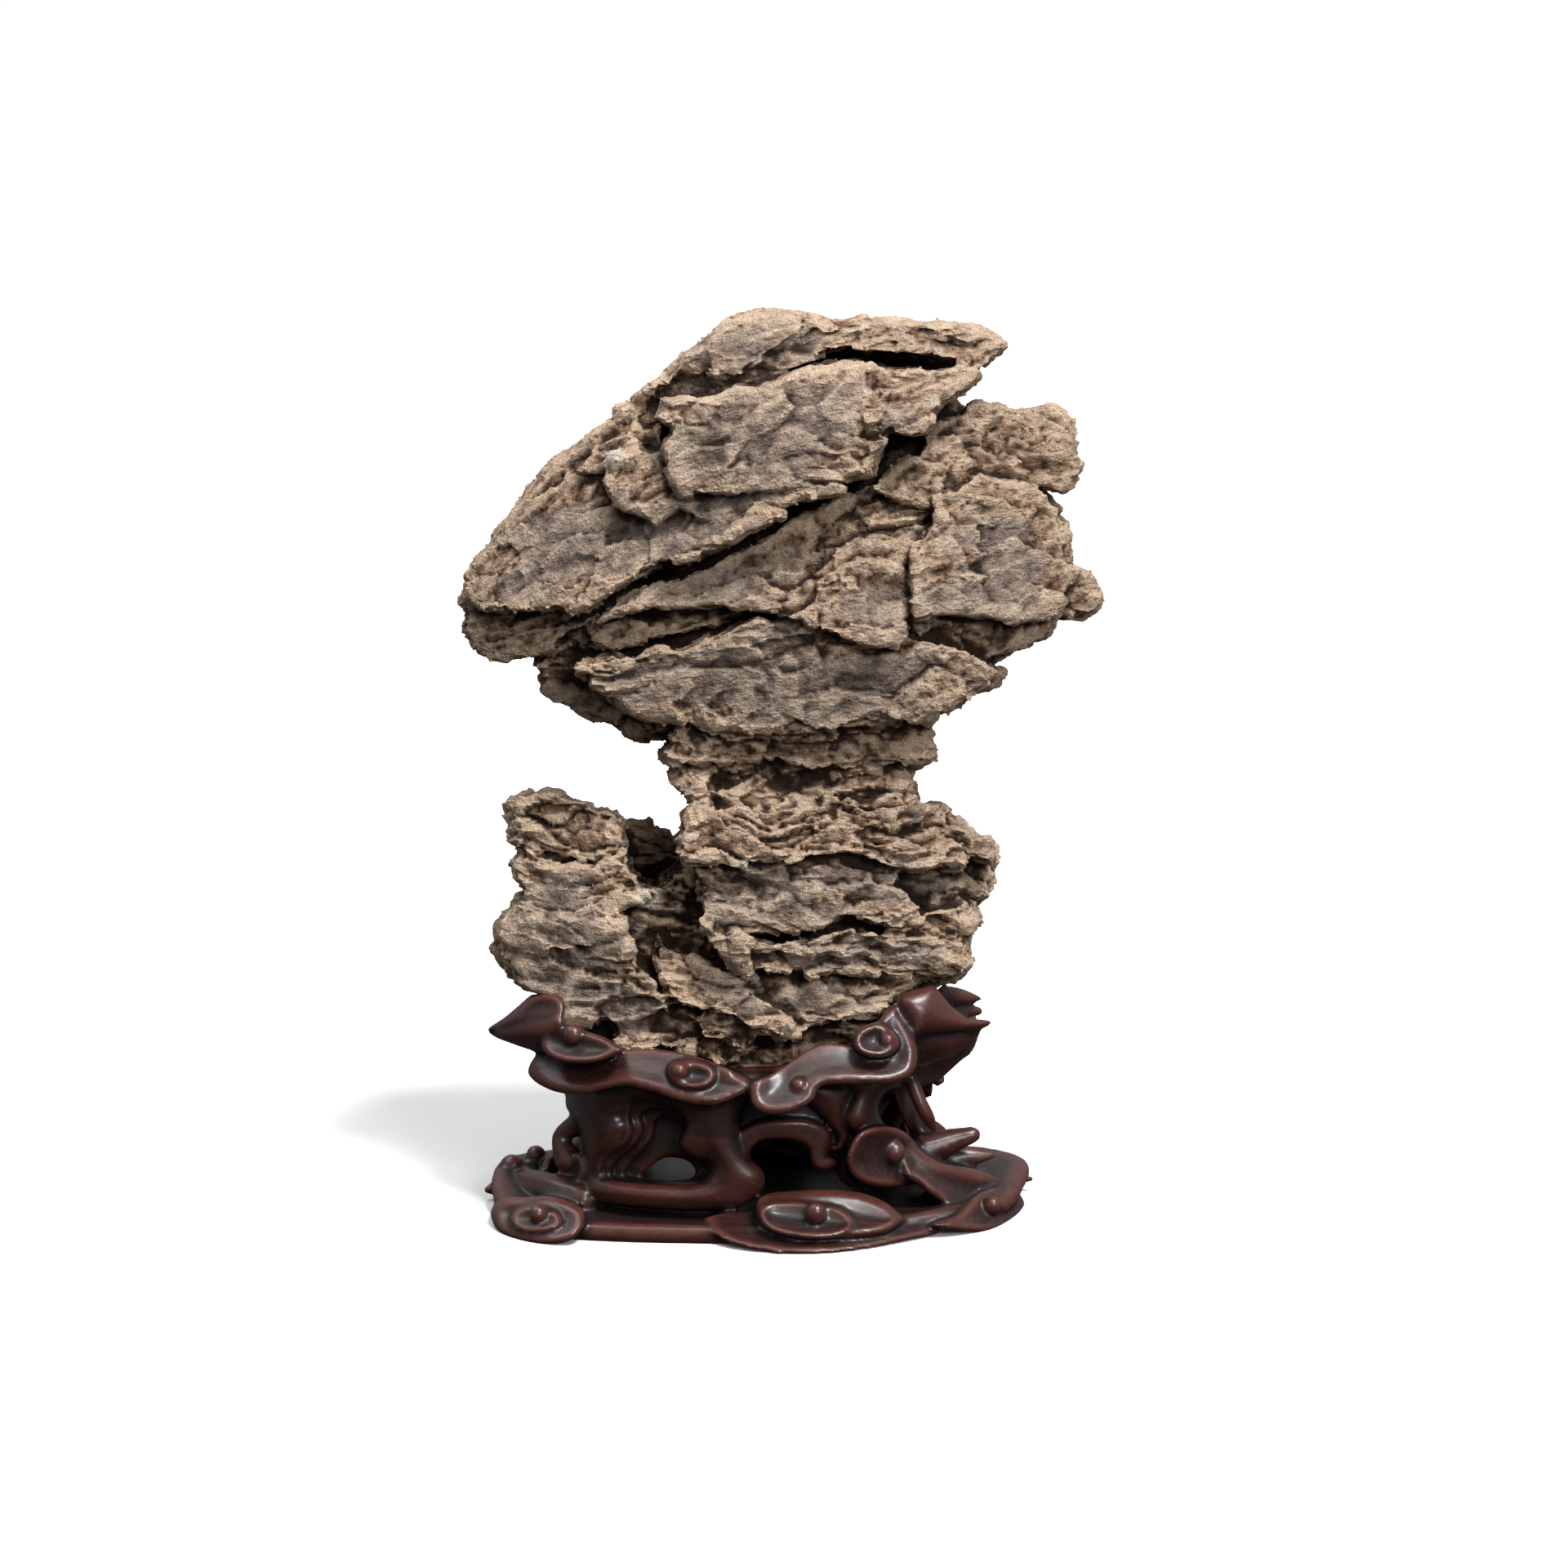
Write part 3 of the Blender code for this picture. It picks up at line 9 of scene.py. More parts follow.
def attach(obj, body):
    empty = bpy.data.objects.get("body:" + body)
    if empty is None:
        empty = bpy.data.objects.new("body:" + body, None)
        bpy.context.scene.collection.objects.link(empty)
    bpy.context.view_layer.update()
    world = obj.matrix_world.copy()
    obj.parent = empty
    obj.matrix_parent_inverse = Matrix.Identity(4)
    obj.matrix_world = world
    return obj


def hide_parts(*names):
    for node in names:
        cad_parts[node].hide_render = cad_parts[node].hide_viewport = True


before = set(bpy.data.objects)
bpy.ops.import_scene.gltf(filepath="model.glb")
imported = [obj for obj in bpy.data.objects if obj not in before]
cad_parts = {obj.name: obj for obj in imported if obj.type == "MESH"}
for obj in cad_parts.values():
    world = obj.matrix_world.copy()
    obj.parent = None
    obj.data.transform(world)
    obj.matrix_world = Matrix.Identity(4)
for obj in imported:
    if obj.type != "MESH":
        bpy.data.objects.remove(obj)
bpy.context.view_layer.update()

MM = 0.001

# ---------------------------------------------------------------------------------------------
# The stand.  One block of dark hardwood, carved all round into a tray of cloud scrolls on
# pierced legs over a flat-bottomed base, then scraped, polished and waxed.  It carries the rock
# in a hollow cut to the rock's foot.
# ---------------------------------------------------------------------------------------------

# The block is carved to the nearest millimetre or so.  The seat is cut this much wider than the
# rock of the CAD; the worn rock swells past that in places, and there it is sunk into the wood.
STAND_VOXEL = 1.0 * MM
CARVING_STEP = STAND_VOXEL / MM
STAND_TRIANGLES = 190000
SEAT_GAP = 0.4 * MM

# Outlines are drawn in millimetres on an upright sheet, for an eye raised a little above the
# object, and each drawn point is carried to its own depth along the line of sight.
EYE_DISTANCE = 2.0
EYE_RAISE = math.radians(10.0)
SHEET_CENTRE = Vector((0.0, 0.0, 172.5 * MM))
SHEET_CENTRE_DRAWN = 191.67
SHEET_UP = Vector((0.0, math.sin(EYE_RAISE), math.cos(EYE_RAISE)))
EYE = SHEET_CENTRE - EYE_DISTANCE * Vector((0.0, math.cos(EYE_RAISE), -math.sin(EYE_RAISE)))


def at(across, up, depth):
    """The point drawn at (across, up) on the sheet that lies at this depth, all in mm."""
    mark = SHEET_CENTRE + Vector((across * MM, 0, 0)) + SHEET_UP * ((up - SHEET_CENTRE_DRAWN) * MM)
    reach = (depth * MM - EYE.y) / (mark.y - EYE.y)
    return EYE + (mark - EYE) * reach


def add_shell(bm, rings):
    """Closes a run of equal rings into one shell, with a face over each end."""
    loops = [[bm.verts.new(point) for point in ring] for ring in rings]
    count = len(loops[0])
    for lower, upper in zip(loops, loops[1:]):
        for i in range(count):
            j = (i + 1) % count
            bm.faces.new((lower[i], lower[j], upper[j], upper[i]))
    bm.faces.new(list(reversed(loops[0])))
    bm.faces.new(loops[-1])


def smooth_path(points, steps, closed):
    """Even steps along a smooth curve through points, which may carry any number of values."""
    count = len(points)
    spans = count if closed else count - 1
    path = []
    for i in range(spans):
        near = [points[(i + k) % count] if closed else points[min(max(i + k, 0), count - 1)]
                for k in (-1, 0, 1, 2)]
        for step in range(steps):
            t = step / steps
            weights = (-t ** 3 + 2 * t ** 2 - t, 3 * t ** 3 - 5 * t ** 2 + 2,
                       -3 * t ** 3 + 4 * t ** 2 + t, t ** 3 - t ** 2)
            path.append(tuple(sum(w * p[n] for w, p in zip(weights, near)) / 2
                              for n in range(len(near[0]))))
    if not closed:
        path.append(tuple(points[-1]))
    return path


# How many steps a curve takes from one drawn point to the next.
OUTLINE_STEPS = 5
LIMB_STEPS = 4


def dish(bm, centre, edge, profile):
    """A wavy dish about a centre (x, y).  edge is a closed list of (x, y, z) along its lip.

    profile runs from the middle of the underside, out to the lip and back over the top.  Each
    step is (share of the reach, share of the lip's height, height added), heights in mm.
    """
    lip = smooth_path(edge, OUTLINE_STEPS, True)
    add_shell(bm, [
        [Vector((centre[0] + (x - centre[0]) * share, centre[1] + (y - centre[1]) * share,
                 z * follow + added)) * MM for x, y, z in lip]
        for share, follow, added in profile])


def limb(bm, points, sides=10):
    """A carved limb through drawn points (across, up, depth, half width, half thickness)."""
    path = smooth_path(points, LIMB_STEPS, False)
    spots = [at(u, v, y) for u, v, y, wide, thick in path]
    last = len(spots) - 1
    rings = []
    for i, spot in enumerate(spots):
        along = (spots[min(i + 1, last)] - spots[max(i - 1, 0)]).normalized()
        outward = Vector((spot.x, spot.y, 0)).normalized()
        side = along.cross(outward).normalized()
        outward = side.cross(along)
        wide, thick = path[i][3] * MM, path[i][4] * MM
        caps = {0: ((-0.9, 0.3), (-0.6, 0.75), (0, 1)), last: ((0, 1), (0.6, 0.75), (0.9, 0.3))}
        for beyond, share in caps.get(i, ((0, 1),)):
            rings.append([spot + along * beyond * thick
                          + (side * wide * math.cos(turn) + outward * thick * math.sin(turn)) * share
                          for turn in (2 * math.pi * k / sides for k in range(sides))])
    add_shell(bm, rings)


def turned(bm, spot, facing, profile, sides=28):
    """A round form about a spot, from a profile of (radius, height along facing) in mm."""
    upright = abs(facing.z) >= 0.999
    across = Vector((1, 0, 0)) if upright else Vector((facing.y, -facing.x, 0)).normalized()
    upward = facing.cross(across)
    turns = [2 * math.pi * k / sides for k in range(sides)]
    add_shell(bm, [
        [spot + (across * math.cos(turn) + upward * math.sin(turn)) * radius * MM
         + facing * height * MM for turn in turns] for radius, height in profile])


def knob(bm, spot, radius, rows=8):
    """A bead of wood."""
    slopes = [math.pi * (k + 0.5) / rows for k in reversed(range(rows))]
    turned(bm, spot, Vector((0, 0, 1)), [
        (radius * math.sin(slope), radius * math.cos(slope)) for slope in slopes], sides=14)


def saucer(bm, spot, facing, wide):
    """The saucer of a scroll end, with a raised rim."""
    turned(bm, spot, facing, [
        (0.5 * wide, -6.0), (0.85 * wide, -4.0), (wide, -1.0), (wide, 1.2), (0.9 * wide, 1.8),
        (0.78 * wide, 0.4), (0.6 * wide, -0.6), (0.3 * wide, 0.2)])


# The lips of the tray and of the base, seen from above, and the profiles of the two dishes.
TRAY_CENTRE = (-8, 0)
TRAY_LIP = (
    (76, -20, 66), (80, 0, 72), (74, 22, 76), (58, 42, 68), (36, 55, 60), (10, 60, 66), (-18, 60, 60),
    (-46, 54, 66), (-72, 44, 70), (-92, 28, 76), (-104, 12, 78), (-108, -4, 73), (-104, -16, 68),
    (-96, -27, 64), (-84, -38, 60), (-68, -47, 61), (-56, -51, 63), (-44, -54, 61), (-29, -56, 60),
    (-14, -57, 62), (1, -58, 60), (14, -56, 64), (34, -52, 67), (50, -46, 68), (64, -32, 67))
TRAY_PROFILE = (
    (0.25, 0, 42), (0.62, 0, 44), (0.86, 0.5, 20), (0.96, 1, -4.5), (1, 1, -2), (1, 1, 1),
    (0.985, 1, 2.4), (0.95, 1, 2.8), (0.89, 0.9, 12), (0.82, 0.6, 34), (0.76, 0.3, 49), (0.6, 0, 62),
    (0.25, 0, 60))
BASE_CENTRE = (-12, -2)
BASE_LIP = (
    (101, 4, 8), (98, -22, 6), (91, -42, 3), (72, -55, 2), (50, -66, 1), (28, -74, 0), (5, -78, 0),
    (-18, -79, 0), (-40, -78, 0), (-64, -76, 0), (-88, -71, 0), (-106, -60, 0), (-116, -42, 2),
    (-120, -20, 6), (-118, 2, 8), (-106, 26, 5), (-86, 46, 2), (-60, 60, 0), (-34, 70, 4), (-8, 76, 1),
    (20, 74, 0), (46, 66, 5), (68, 54, 1), (86, 34, 5))
BASE_PROFILE = (
    (0.25, 0, -1.5), (0.86, 0, -1.5), (0.97, 1, -1.5), (0.995, 1, 1), (1, 1, 3.5), (0.99, 1, 5.8),
    (0.965, 1, 7), (0.93, 0.9, 6.8), (0.86, 0.5, 6), (0.78, 0.2, 5), (0.66, 0, 4.5), (0.25, 0, 4))

# The ovals that the stand's walls follow: middle x, middle y, reach in x, reach in y.
TRAY_WALL = (-8, 0, 112, 68)
WAIST_WALL = (-19, 0, 72, 54)
BASE_WALL = (-20, -2, 121, 78)

# Sections of a carved form, as (mm in from its edge, mm below its crest).
ROLLED = ((0, 3.2), (0.8, 1.3), (1.8, 0.3), (2.8, 0.0), (4.5, 0.8), (7.5, 2.4), (12, 3.6), (20, 4.2))
SWOLLEN = ((0, 6.0), (1, 4.0), (2.5, 2.4), (5, 1.0), (8, 0.3), (12, 0.0))
DISHED = ((0, 2.6), (0.7, 0.8), (1.5, 0.0), (2.6, 0.7), (4, 2.2), (7, 3.8), (12, 4.6))
STEPPED = ((0, 2.2), (0.7, 0.8), (1.6, 0.0), (4, 0.3))

# What the forms at the back are turned about.
BACK_MIDDLE = Vector((-14, 0, 0)) * MM


def front_of(wall, across):
    """The depth of the front of an oval wall at this place across.

    The oval is fuller than an ellipse, and carries on level just before its two ends.
    """
    share = np.clip(np.abs((across - wall[0]) / wall[2]), 0, 0.985)
    return wall[1] - wall[3] * np.sqrt(1 - share ** 3)


def carve(bm, wall, out, lean, section, thick, outline, worked=None, holes=(), turn=0):
    """A carved form: what a smooth drawn outline takes from a board bent along an oval wall.

    out is how far the form stands off the wall, and lean how far its face falls back for each
    mm up.  The section is worked in from the outline's first points only, where worked gives
    their number.  holes are outlines cut right through.  turn carries the form to the back.
    """
    # How far each point of a fine grid is from the nearest edge, and whether it is inside.
    loops = [smooth_path(loop, OUTLINE_STEPS, True) for loop in (outline, *holes)]
    starts = np.array([point for loop in loops for point in loop])
    ends = np.array([point for loop in loops for point in loop[1:] + loop[:1]])
    run = ends - starts
    low = starts.min(axis=0) - 2 * CARVING_STEP
    columns, rows = (int(n) + 5 for n in np.ptp(starts, axis=0) / CARVING_STEP)
    u, v = np.meshgrid(low[0] + CARVING_STEP * np.arange(columns),
                       low[1] + CARVING_STEP * np.arange(rows), indexing="ij")
    spots = np.stack([u.ravel(), v.ravel()], axis=1)
    to_spot = spots[:, None] - starts
    share = np.clip((to_spot * run).sum(axis=2) / (run * run).sum(axis=1), 0, 1)
    away = np.hypot(*np.moveaxis(to_spot - share[:, :, None] * run, 2, 0))
    nearest = away.argmin(axis=1)
    crossed = (starts[:, 1] > spots[:, 1, None]) != (ends[:, 1] > spots[:, 1, None])
    rise = np.where(run[:, 1] == 0, 1, run[:, 1])
    crossed &= spots[:, 0, None] < starts[:, 0] + to_spot[:, :, 1] * run[:, 0] / rise
    inside = crossed.sum(axis=1) % 2 == 1
    # The points just outside move to the edge, and the section gives each point its depth.
    on_edge = starts[nearest] + share[np.arange(len(spots)), nearest, None] * run[nearest]
    spots = np.where(inside[:, None], spots, on_edge)
    if worked:
        inward = away[:, :OUTLINE_STEPS * worked].min(axis=1)
    else:
        inward = np.where(inside, away.min(axis=1), 0)
    level = front_of(wall, spots[:, 0]) - out + lean * (spots[:, 1] - spots[:, 1].mean())
    faces = level + np.interp(inward, *zip(*section))
    spin = Matrix.Rotation(math.radians(turn), 3, "Z")
    placed = {}

    def corner(index, depth):
        """The vertex at one point of the grid on one of the two faces, made only once."""
        if (index, depth[index]) not in placed:
            spot = at(spots[index, 0], spots[index, 1], depth[index])
            if turn:
                spot = spin @ (spot - BACK_MIDDLE) + BACK_MIDDLE
            placed[index, depth[index]] = bm.verts.new(spot)
        return placed[index, depth[index]]

    # The front, the back, and a wall between them wherever the next cell is left out.
    behind_it = level + thick
    inside = inside.reshape(columns, rows)
    taken = inside[:-1, :-1] | inside[1:, :-1] | inside[1:, 1:] | inside[:-1, 1:]
    for i, j in zip(*np.nonzero(taken)):
        cell = [i * rows + j, (i + 1) * rows + j, (i + 1) * rows + j + 1, i * rows + j + 1]
        bm.faces.new([corner(k, faces) for k in cell])
        bm.faces.new([corner(k, behind_it) for k in reversed(cell)])
        beside = ((0, 1, i, j - 1), (1, 2, i + 1, j), (2, 3, i, j + 1), (3, 0, i - 1, j))
        for a, b, column, row in beside:
            if not taken[column, row]:
                bm.faces.new([corner(cell[b], faces), corner(cell[a], faces),
                              corner(cell[a], behind_it), corner(cell[b], behind_it)])


def bead(bm, wall, out, across, up, size):
    """A bead of wood whose middle stands this far off a wall."""
    knob(bm, at(across, up, front_of(wall, across) - out), size)


def waist(bm, turn):
    """The carved wall under the tray: a leg that turns along a low strap and rises as a column,
    an arch with a hook, and a second leg that ends in a great scroll."""
    # The stepped hollow round the left window, and the see-through window in its floor.
    for out, thick, left, right, top, window in (
            (-8, 7, -82, -24, -30, [
                (-58, 31), (-55, 35), (-49, 39), (-43, 39), (-38, 37), (-36, 33), (-39, 30.5),
                (-50, 30)]),
            (-3.5, 8, -84, -22, -26, [
                (-65, 33), (-62, 38), (-57, 43), (-53.5, 48), (-52.5, 54), (-47, 56), (-41, 51),
                (-41, 45), (-35, 39), (-32, 34), (-38, 30), (-52, 29.5), (-62, 30.5)]),
            (1, 9, -86, -20, -24, [
                (-70.5, 32.5), (-68.5, 38), (-64, 41.5), (-59.5, 46), (-57.5, 52), (-58.5, 57),
                (-50, 59), (-40, 54), (-40, 46), (-34, 40), (-31, 34), (-36, 29.5), (-52, 29),
                (-66, 29.8)]),
            (5, 10, -86, -20, -24, [
                (-74.5, 32), (-73.5, 38), (-69.5, 41.5), (-64.5, 45), (-62, 50), (-63, 57), (-60, 62),
                (-48, 61), (-40, 55), (-39, 47), (-33, 41), (-30, 35), (-34, 29.5), (-52, 28.6),
                (-70, 29.3)])):
        board = [(left, 66), (left + 4, 48), (-80, 34), (-76, 24), (-40, 22), (right, 28), (right, 44),
                 (top, 66)]
        carve(bm, WAIST_WALL, out, 0.0, STEPPED, thick, board, holes=[window], turn=turn)
    # The leg, the strap and the column, in one.
    carve(bm, WAIST_WALL, 10, 0.0, SWOLLEN, 18, [
        (-92, 70), (-88.5, 64.5), (-86, 58), (-84, 51.5), (-82.5, 44), (-80.5, 38), (-81.5, 31),
        (-87, 24), (-82, 21.8), (-73, 20.6), (-61, 19.3), (-48, 18.4), (-36, 18), (-23, 18.3),
        (-15.5, 20), (-10.5, 23.8), (-7.8, 29), (-8.5, 33.5), (-12, 37), (-16, 41), (-18.5, 48),
        (-18, 56), (-16, 70), (-50, 74)], holes=[[
            (-77.5, 31.5), (-77, 37), (-74, 41), (-69, 43.5), (-66, 47.5), (-65, 52.5), (-67, 57),
            (-60, 63), (-48, 62), (-40, 54), (-42.5, 44.5), (-37, 39.5), (-31, 38), (-29, 34),
            (-32, 30), (-40, 28), (-57, 28.6), (-70, 29.8)]], turn=turn)
    # The wall behind the arch, the arch with its hook, and a second hook beside it.
    carve(bm, WAIST_WALL, -2, 0.0, STEPPED, 8, [
        (-24, 66), (-20, 44), (-17, 44), (-15, 50), (-8, 53), (2, 53.5), (10, 53), (16, 50), (19, 44),
        (23, 30), (32, 30), (34, 66)], turn=turn)
    carve(bm, WAIST_WALL, 5, 0.0, STEPPED, 12, [
        (-20, 34), (-20, 44), (-17.5, 50), (-10, 54), (0, 55), (10, 54.5), (16, 52), (19, 48),
        (18.5, 43), (17.5, 40), (20.5, 39), (22, 36.5), (19, 34.2), (13.5, 34.6), (11, 37.5),
        (10.8, 41), (8.5, 44.5), (3, 46.5), (-4, 46.7), (-10, 45.6), (-13.5, 42), (-14, 36),
        (-14, 30)], turn=turn)
    carve(bm, WAIST_WALL, 7, 0.0, SWOLLEN, 14, [
        (4, 70), (14, 58), (19, 52), (22, 48), (21.5, 45), (18.5, 42.5), (23, 41.5), (26.5, 46),
        (27, 56), (30, 70)], turn=turn)
    # The right leg and its great scroll.
    carve(bm, WAIST_WALL, 12, 0.0, SWOLLEN, 18, [
        (24, 72), (28.5, 66), (26.8, 60), (25.4, 55), (28, 50), (36, 46), (46, 48), (41, 53),
        (38.5, 58), (40, 64), (46, 72)], turn=turn)
    carve(bm, WAIST_WALL, 24, -0.1, DISHED, 24, [
        (31, 49.5), (27.5, 45), (25.4, 38.5), (27.5, 32.5), (33.3, 28.5), (41.7, 27), (51, 27.8),
        (58, 31), (62.5, 35.8), (57, 41), (53, 46), (49, 49.8), (43, 52), (37, 51.8)], turn=turn)


def stand_front(bm):
    """What the front of the stand shows: the carved waist, and cloud scrolls above and below it."""
    waist(bm, 0)
    bead(bm, WAIST_WALL, 22, 45, 41.5, 4.7)
    # The strap that runs down to the right, with a thin outer edge, and the limb below it.
    carve(bm, WAIST_WALL, 6, 0.0, SWOLLEN, 24, [
        (44, 74), (45, 66), (46.5, 59), (49.5, 53), (53.5, 46), (58, 41), (63.5, 39.3), (67.5, 41.8),
        (69, 44.5), (64, 48.5), (59.5, 52), (57.5, 57), (54, 63), (52, 74)])
    limb(bm, [(52.5, 70, -36, 3, 3), (55, 63, -38, 3, 3), (58.5, 56, -38, 3, 3), (61, 51, -36, 1.6, 2)])
    carve(bm, BASE_WALL, -22, 0.5, ROLLED, 30, [
        (48, 46), (62, 38), (70, 36), (80, 34), (88, 30), (94, 24), (88, 12), (74, 13), (68.5, 17.5),
        (64, 21), (59, 24.5), (55, 28), (48, 33)])
    # The lip of the tray on the left, its petal and the small scroll on it.
    carve(bm, TRAY_WALL, 4, 0.6, ROLLED, 18, [
        (-104.5, 75), (-103, 71.5), (-99, 68.5), (-93, 66), (-86, 65), (-79, 65.5), (-72, 67.3),
        (-65, 68.5), (-58, 67.2), (-51, 65.3), (-45, 63), (-38, 61.2), (-30, 60.5), (-23, 62.3),
        (-16, 65.5), (-12.5, 68.5), (-14, 71), (-20, 74), (-26, 77), (-34, 80), (-42, 82), (-50, 83),
        (-58, 83.5), (-66, 83), (-75, 81), (-85, 80), (-95, 81), (-101, 81)], worked=17)
    carve(bm, TRAY_WALL, 9, 0.8, DISHED, 14, [
        (-99, 87), (-98, 82.5), (-94, 79.3), (-86, 77.6), (-77, 78), (-70, 80.5), (-65.5, 83.5),
        (-70, 86.5), (-75, 89), (-82, 91), (-90, 92), (-96, 91.5)])
    bead(bm, TRAY_WALL, 4, -86, 89.3, 4.5)
    carve(bm, TRAY_WALL, 6.5, 0.6, DISHED, 12, [
        (-47.5, 75), (-46.5, 70.5), (-42, 67.6), (-36, 66.8), (-30.5, 68.5), (-27.8, 72), (-29, 76),
        (-34, 78.5), (-41, 79), (-46, 78)])
    bead(bm, TRAY_WALL, 4.5, -42.7, 74.5, 3.7)
    # The ribbon that starts in a scroll in the middle, runs to the right and rises to the horn.
    carve(bm, TRAY_WALL, 6, 0.55, ROLLED, 20, [
        (-13.5, 69.5), (-13.8, 63.5), (-11.5, 59.3), (-6, 56.8), (1, 57.4), (7.5, 59.6), (12.3, 63.2),
        (14.5, 68), (21.5, 69.2), (31.5, 69.2), (41.5, 69.2), (48.3, 70.8), (52.5, 73.5), (54.3, 78.3),
        (54.4, 83.3), (52.9, 88.3), (50.8, 92.5), (48.3, 96.7), (45, 101.5), (40, 97), (38, 92),
        (34, 88), (29, 84.5), (23.3, 85.5), (17.5, 86), (11.7, 84.3), (5.8, 80.5), (0, 76.5),
        (-6.7, 72.5)], worked=19)
    bead(bm, TRAY_WALL, 8, 6.2, 68.5, 3.4)
    carve(bm, TRAY_WALL, 7, 0.6, DISHED, 14, [
        (28.3, 86.7), (29.5, 83), (34, 80.4), (40.5, 80.2), (45.3, 82.5), (47, 86), (45, 90), (41.5, 93),
        (38, 94.5), (33, 93), (29.5, 90.3)])
    bead(bm, TRAY_WALL, 5, 42.3, 87, 3.3)
    # The horn that clasps the rock on the right, and its smaller lobes.
    carve(bm, TRAY_WALL, -2, 0.25, SWOLLEN, 38, [
        (46.7, 104), (50.8, 106.8), (57.5, 108.8), (61.3, 109.2), (64.2, 105.8), (68.3, 100.8),
        (71.7, 98.3), (75, 96), (80, 95.6), (84.5, 94.7), (82.5, 92.5), (77, 91.5), (68, 90.5),
        (58, 89.5), (53, 88), (50.8, 91.7), (48.3, 96.7)])
    carve(bm, TRAY_WALL, -8, -0.3, SWOLLEN, 40, [
        (50, 92), (56, 92.5), (66, 92), (76, 92), (80, 91), (78.3, 87.5), (74.2, 83.8), (68.3, 80.4),
        (61.7, 78.3), (54, 75.5), (50, 80)])
    limb(bm, [
        (56, 104, -22, 5, 5), (66, 105, -16, 4.5, 4.5), (73, 104.5, -10, 3.5, 4), (80, 104, -6, 1, 1.2)])
    limb(bm, [(62, 98, -16, 5, 5), (72, 99, -10, 3.5, 4), (79, 99, -4, 2, 2.5)])
    knob(bm, at(64, 107.8, -18), 3.2)
    # The beak at the left, folded along a ridge.
    carve(bm, TRAY_WALL, 6, -0.25, SWOLLEN, 30, [
        (-120.5, 91), (-117.5, 88.2), (-112.5, 86.2), (-105, 83.6), (-98, 82), (-90, 84), (-90, 96),
        (-98, 96.5), (-106, 95.5), (-113, 93.5)])
    carve(bm, TRAY_WALL, 2, 0.6, ROLLED, 24, [
        (-121, 91.5), (-113, 92.5), (-104, 94.5), (-96, 95), (-90, 96), (-90, 104), (-96, 107),
        (-102.5, 106), (-108.3, 101.3), (-114, 96.5)])
    # The base: the scroll at its left end, the second lobe, the great scroll, the right end.
    carve(bm, BASE_WALL, 2, 1.1, ROLLED, 22, [
        (-119.5, 18), (-118, 11), (-113, 7), (-105, 4.5), (-95, 4), (-86, 6), (-81.5, 12), (-82, 18),
        (-88, 21.5), (-96, 23.5), (-106, 23), (-114, 23)])
    carve(bm, BASE_WALL, 5, 1.1, DISHED, 10, [
        (-112, 14.5), (-110, 10.5), (-104, 8.5), (-96, 9), (-91, 12), (-91.5, 16), (-96, 19), (-103, 20),
        (-109, 18.5)])
    bead(bm, BASE_WALL, 4, -100.4, 16.2, 3.8)
    carve(bm, BASE_WALL, 0, 1.8, ROLLED, 30, [
        (-33, 13.5), (-29, 8.5), (-21, 4.2), (-8, 1.2), (6, -0.2), (20, 0.4), (36, 2.8), (50, 5.6),
        (64, 9), (56, 14), (30, 18), (4, 18), (-16, 17), (-27, 16)], worked=9)
    carve(bm, BASE_WALL, 1, 1.1, ROLLED, 16, [
        (-11.5, 19), (-10, 13), (-4, 9), (8, 7), (20, 6.4), (32, 7), (41, 8.5), (46.5, 11.5), (49, 14.2),
        (45.5, 18), (40, 21.7), (31.7, 24.8), (22, 26), (12, 26), (3, 25.5), (-5, 24.8), (-10, 22.6)])
    carve(bm, BASE_WALL, 5, 1.1, DISHED, 12, [
        (-10.5, 18), (-9, 12.5), (-3.5, 8.5), (7.5, 6.3), (17.5, 6.1), (25, 7.8), (28.6, 12), (27.3, 16),
        (21.5, 19.4), (13, 21), (3, 22), (-6, 21.5)])
    bead(bm, BASE_WALL, 4, 12.9, 16.8, 4.6)
    carve(bm, BASE_WALL, 1, 1.1, ROLLED, 26, [
        (70, 16), (78, 24), (87.5, 27), (95.8, 24.5), (98.3, 19.2), (96.7, 14), (91.7, 10.4), (84.2, 8.6),
        (75, 9), (66, 10), (60, 12)])
    bead(bm, BASE_WALL, 0, 85, 19.8, 3.9)
    # The scroll at the foot of the left leg, and the lobes and beads behind it.
    carve(bm, WAIST_WALL, 9, 0.4, DISHED, 24, [
        (-98.3, 31.7), (-98.8, 35.8), (-96, 40.8), (-91, 43.3), (-85.5, 42.3), (-81.5, 38), (-81, 33),
        (-83.3, 28.6), (-88.5, 25.2), (-94, 26), (-97.5, 28.6)])
    bead(bm, WAIST_WALL, 8, -90, 39.3, 3.3)
    limb(bm, [(-82, 22, -40, 7, 7), (-94, 24, -30, 9, 8), (-104, 26, -16, 9, 8), (-106, 29, -2, 8, 8)])
    limb(bm, [(-88, 38, -26, 7, 6), (-91, 47.5, -24, 3, 4), (-84, 53, -24, 5, 5)])
    for across, up, depth, size in (
            (-111, 35.3, -6, 5.4), (-101.2, 40, 4, 4.4), (57.6, 61.6, -30, 3.2)):
        knob(bm, at(across, up, depth), size)
    limb(bm, [(-121, 26, -10, 1.5, 2), (-113, 28, -6, 6, 5), (-102, 33, 4, 7, 7), (-90, 34, 14, 8, 8)])
    # The lobes that run back along the right side.
    limb(bm, [(58, 42, -14, 9, 8), (70, 46.5, -14, 5, 5), (77, 48.5, -14, 3.4, 3.6)])
    limb(bm, [(62, 37, -4, 8, 7), (75, 39.5, -4, 4.5, 5), (85, 40.2, -4, 1.4, 1.6)])
    limb(bm, [(68, 27, 4, 8, 8), (84, 30, 4, 5, 5), (100.5, 30.5, 4, 1.2, 1.6)])


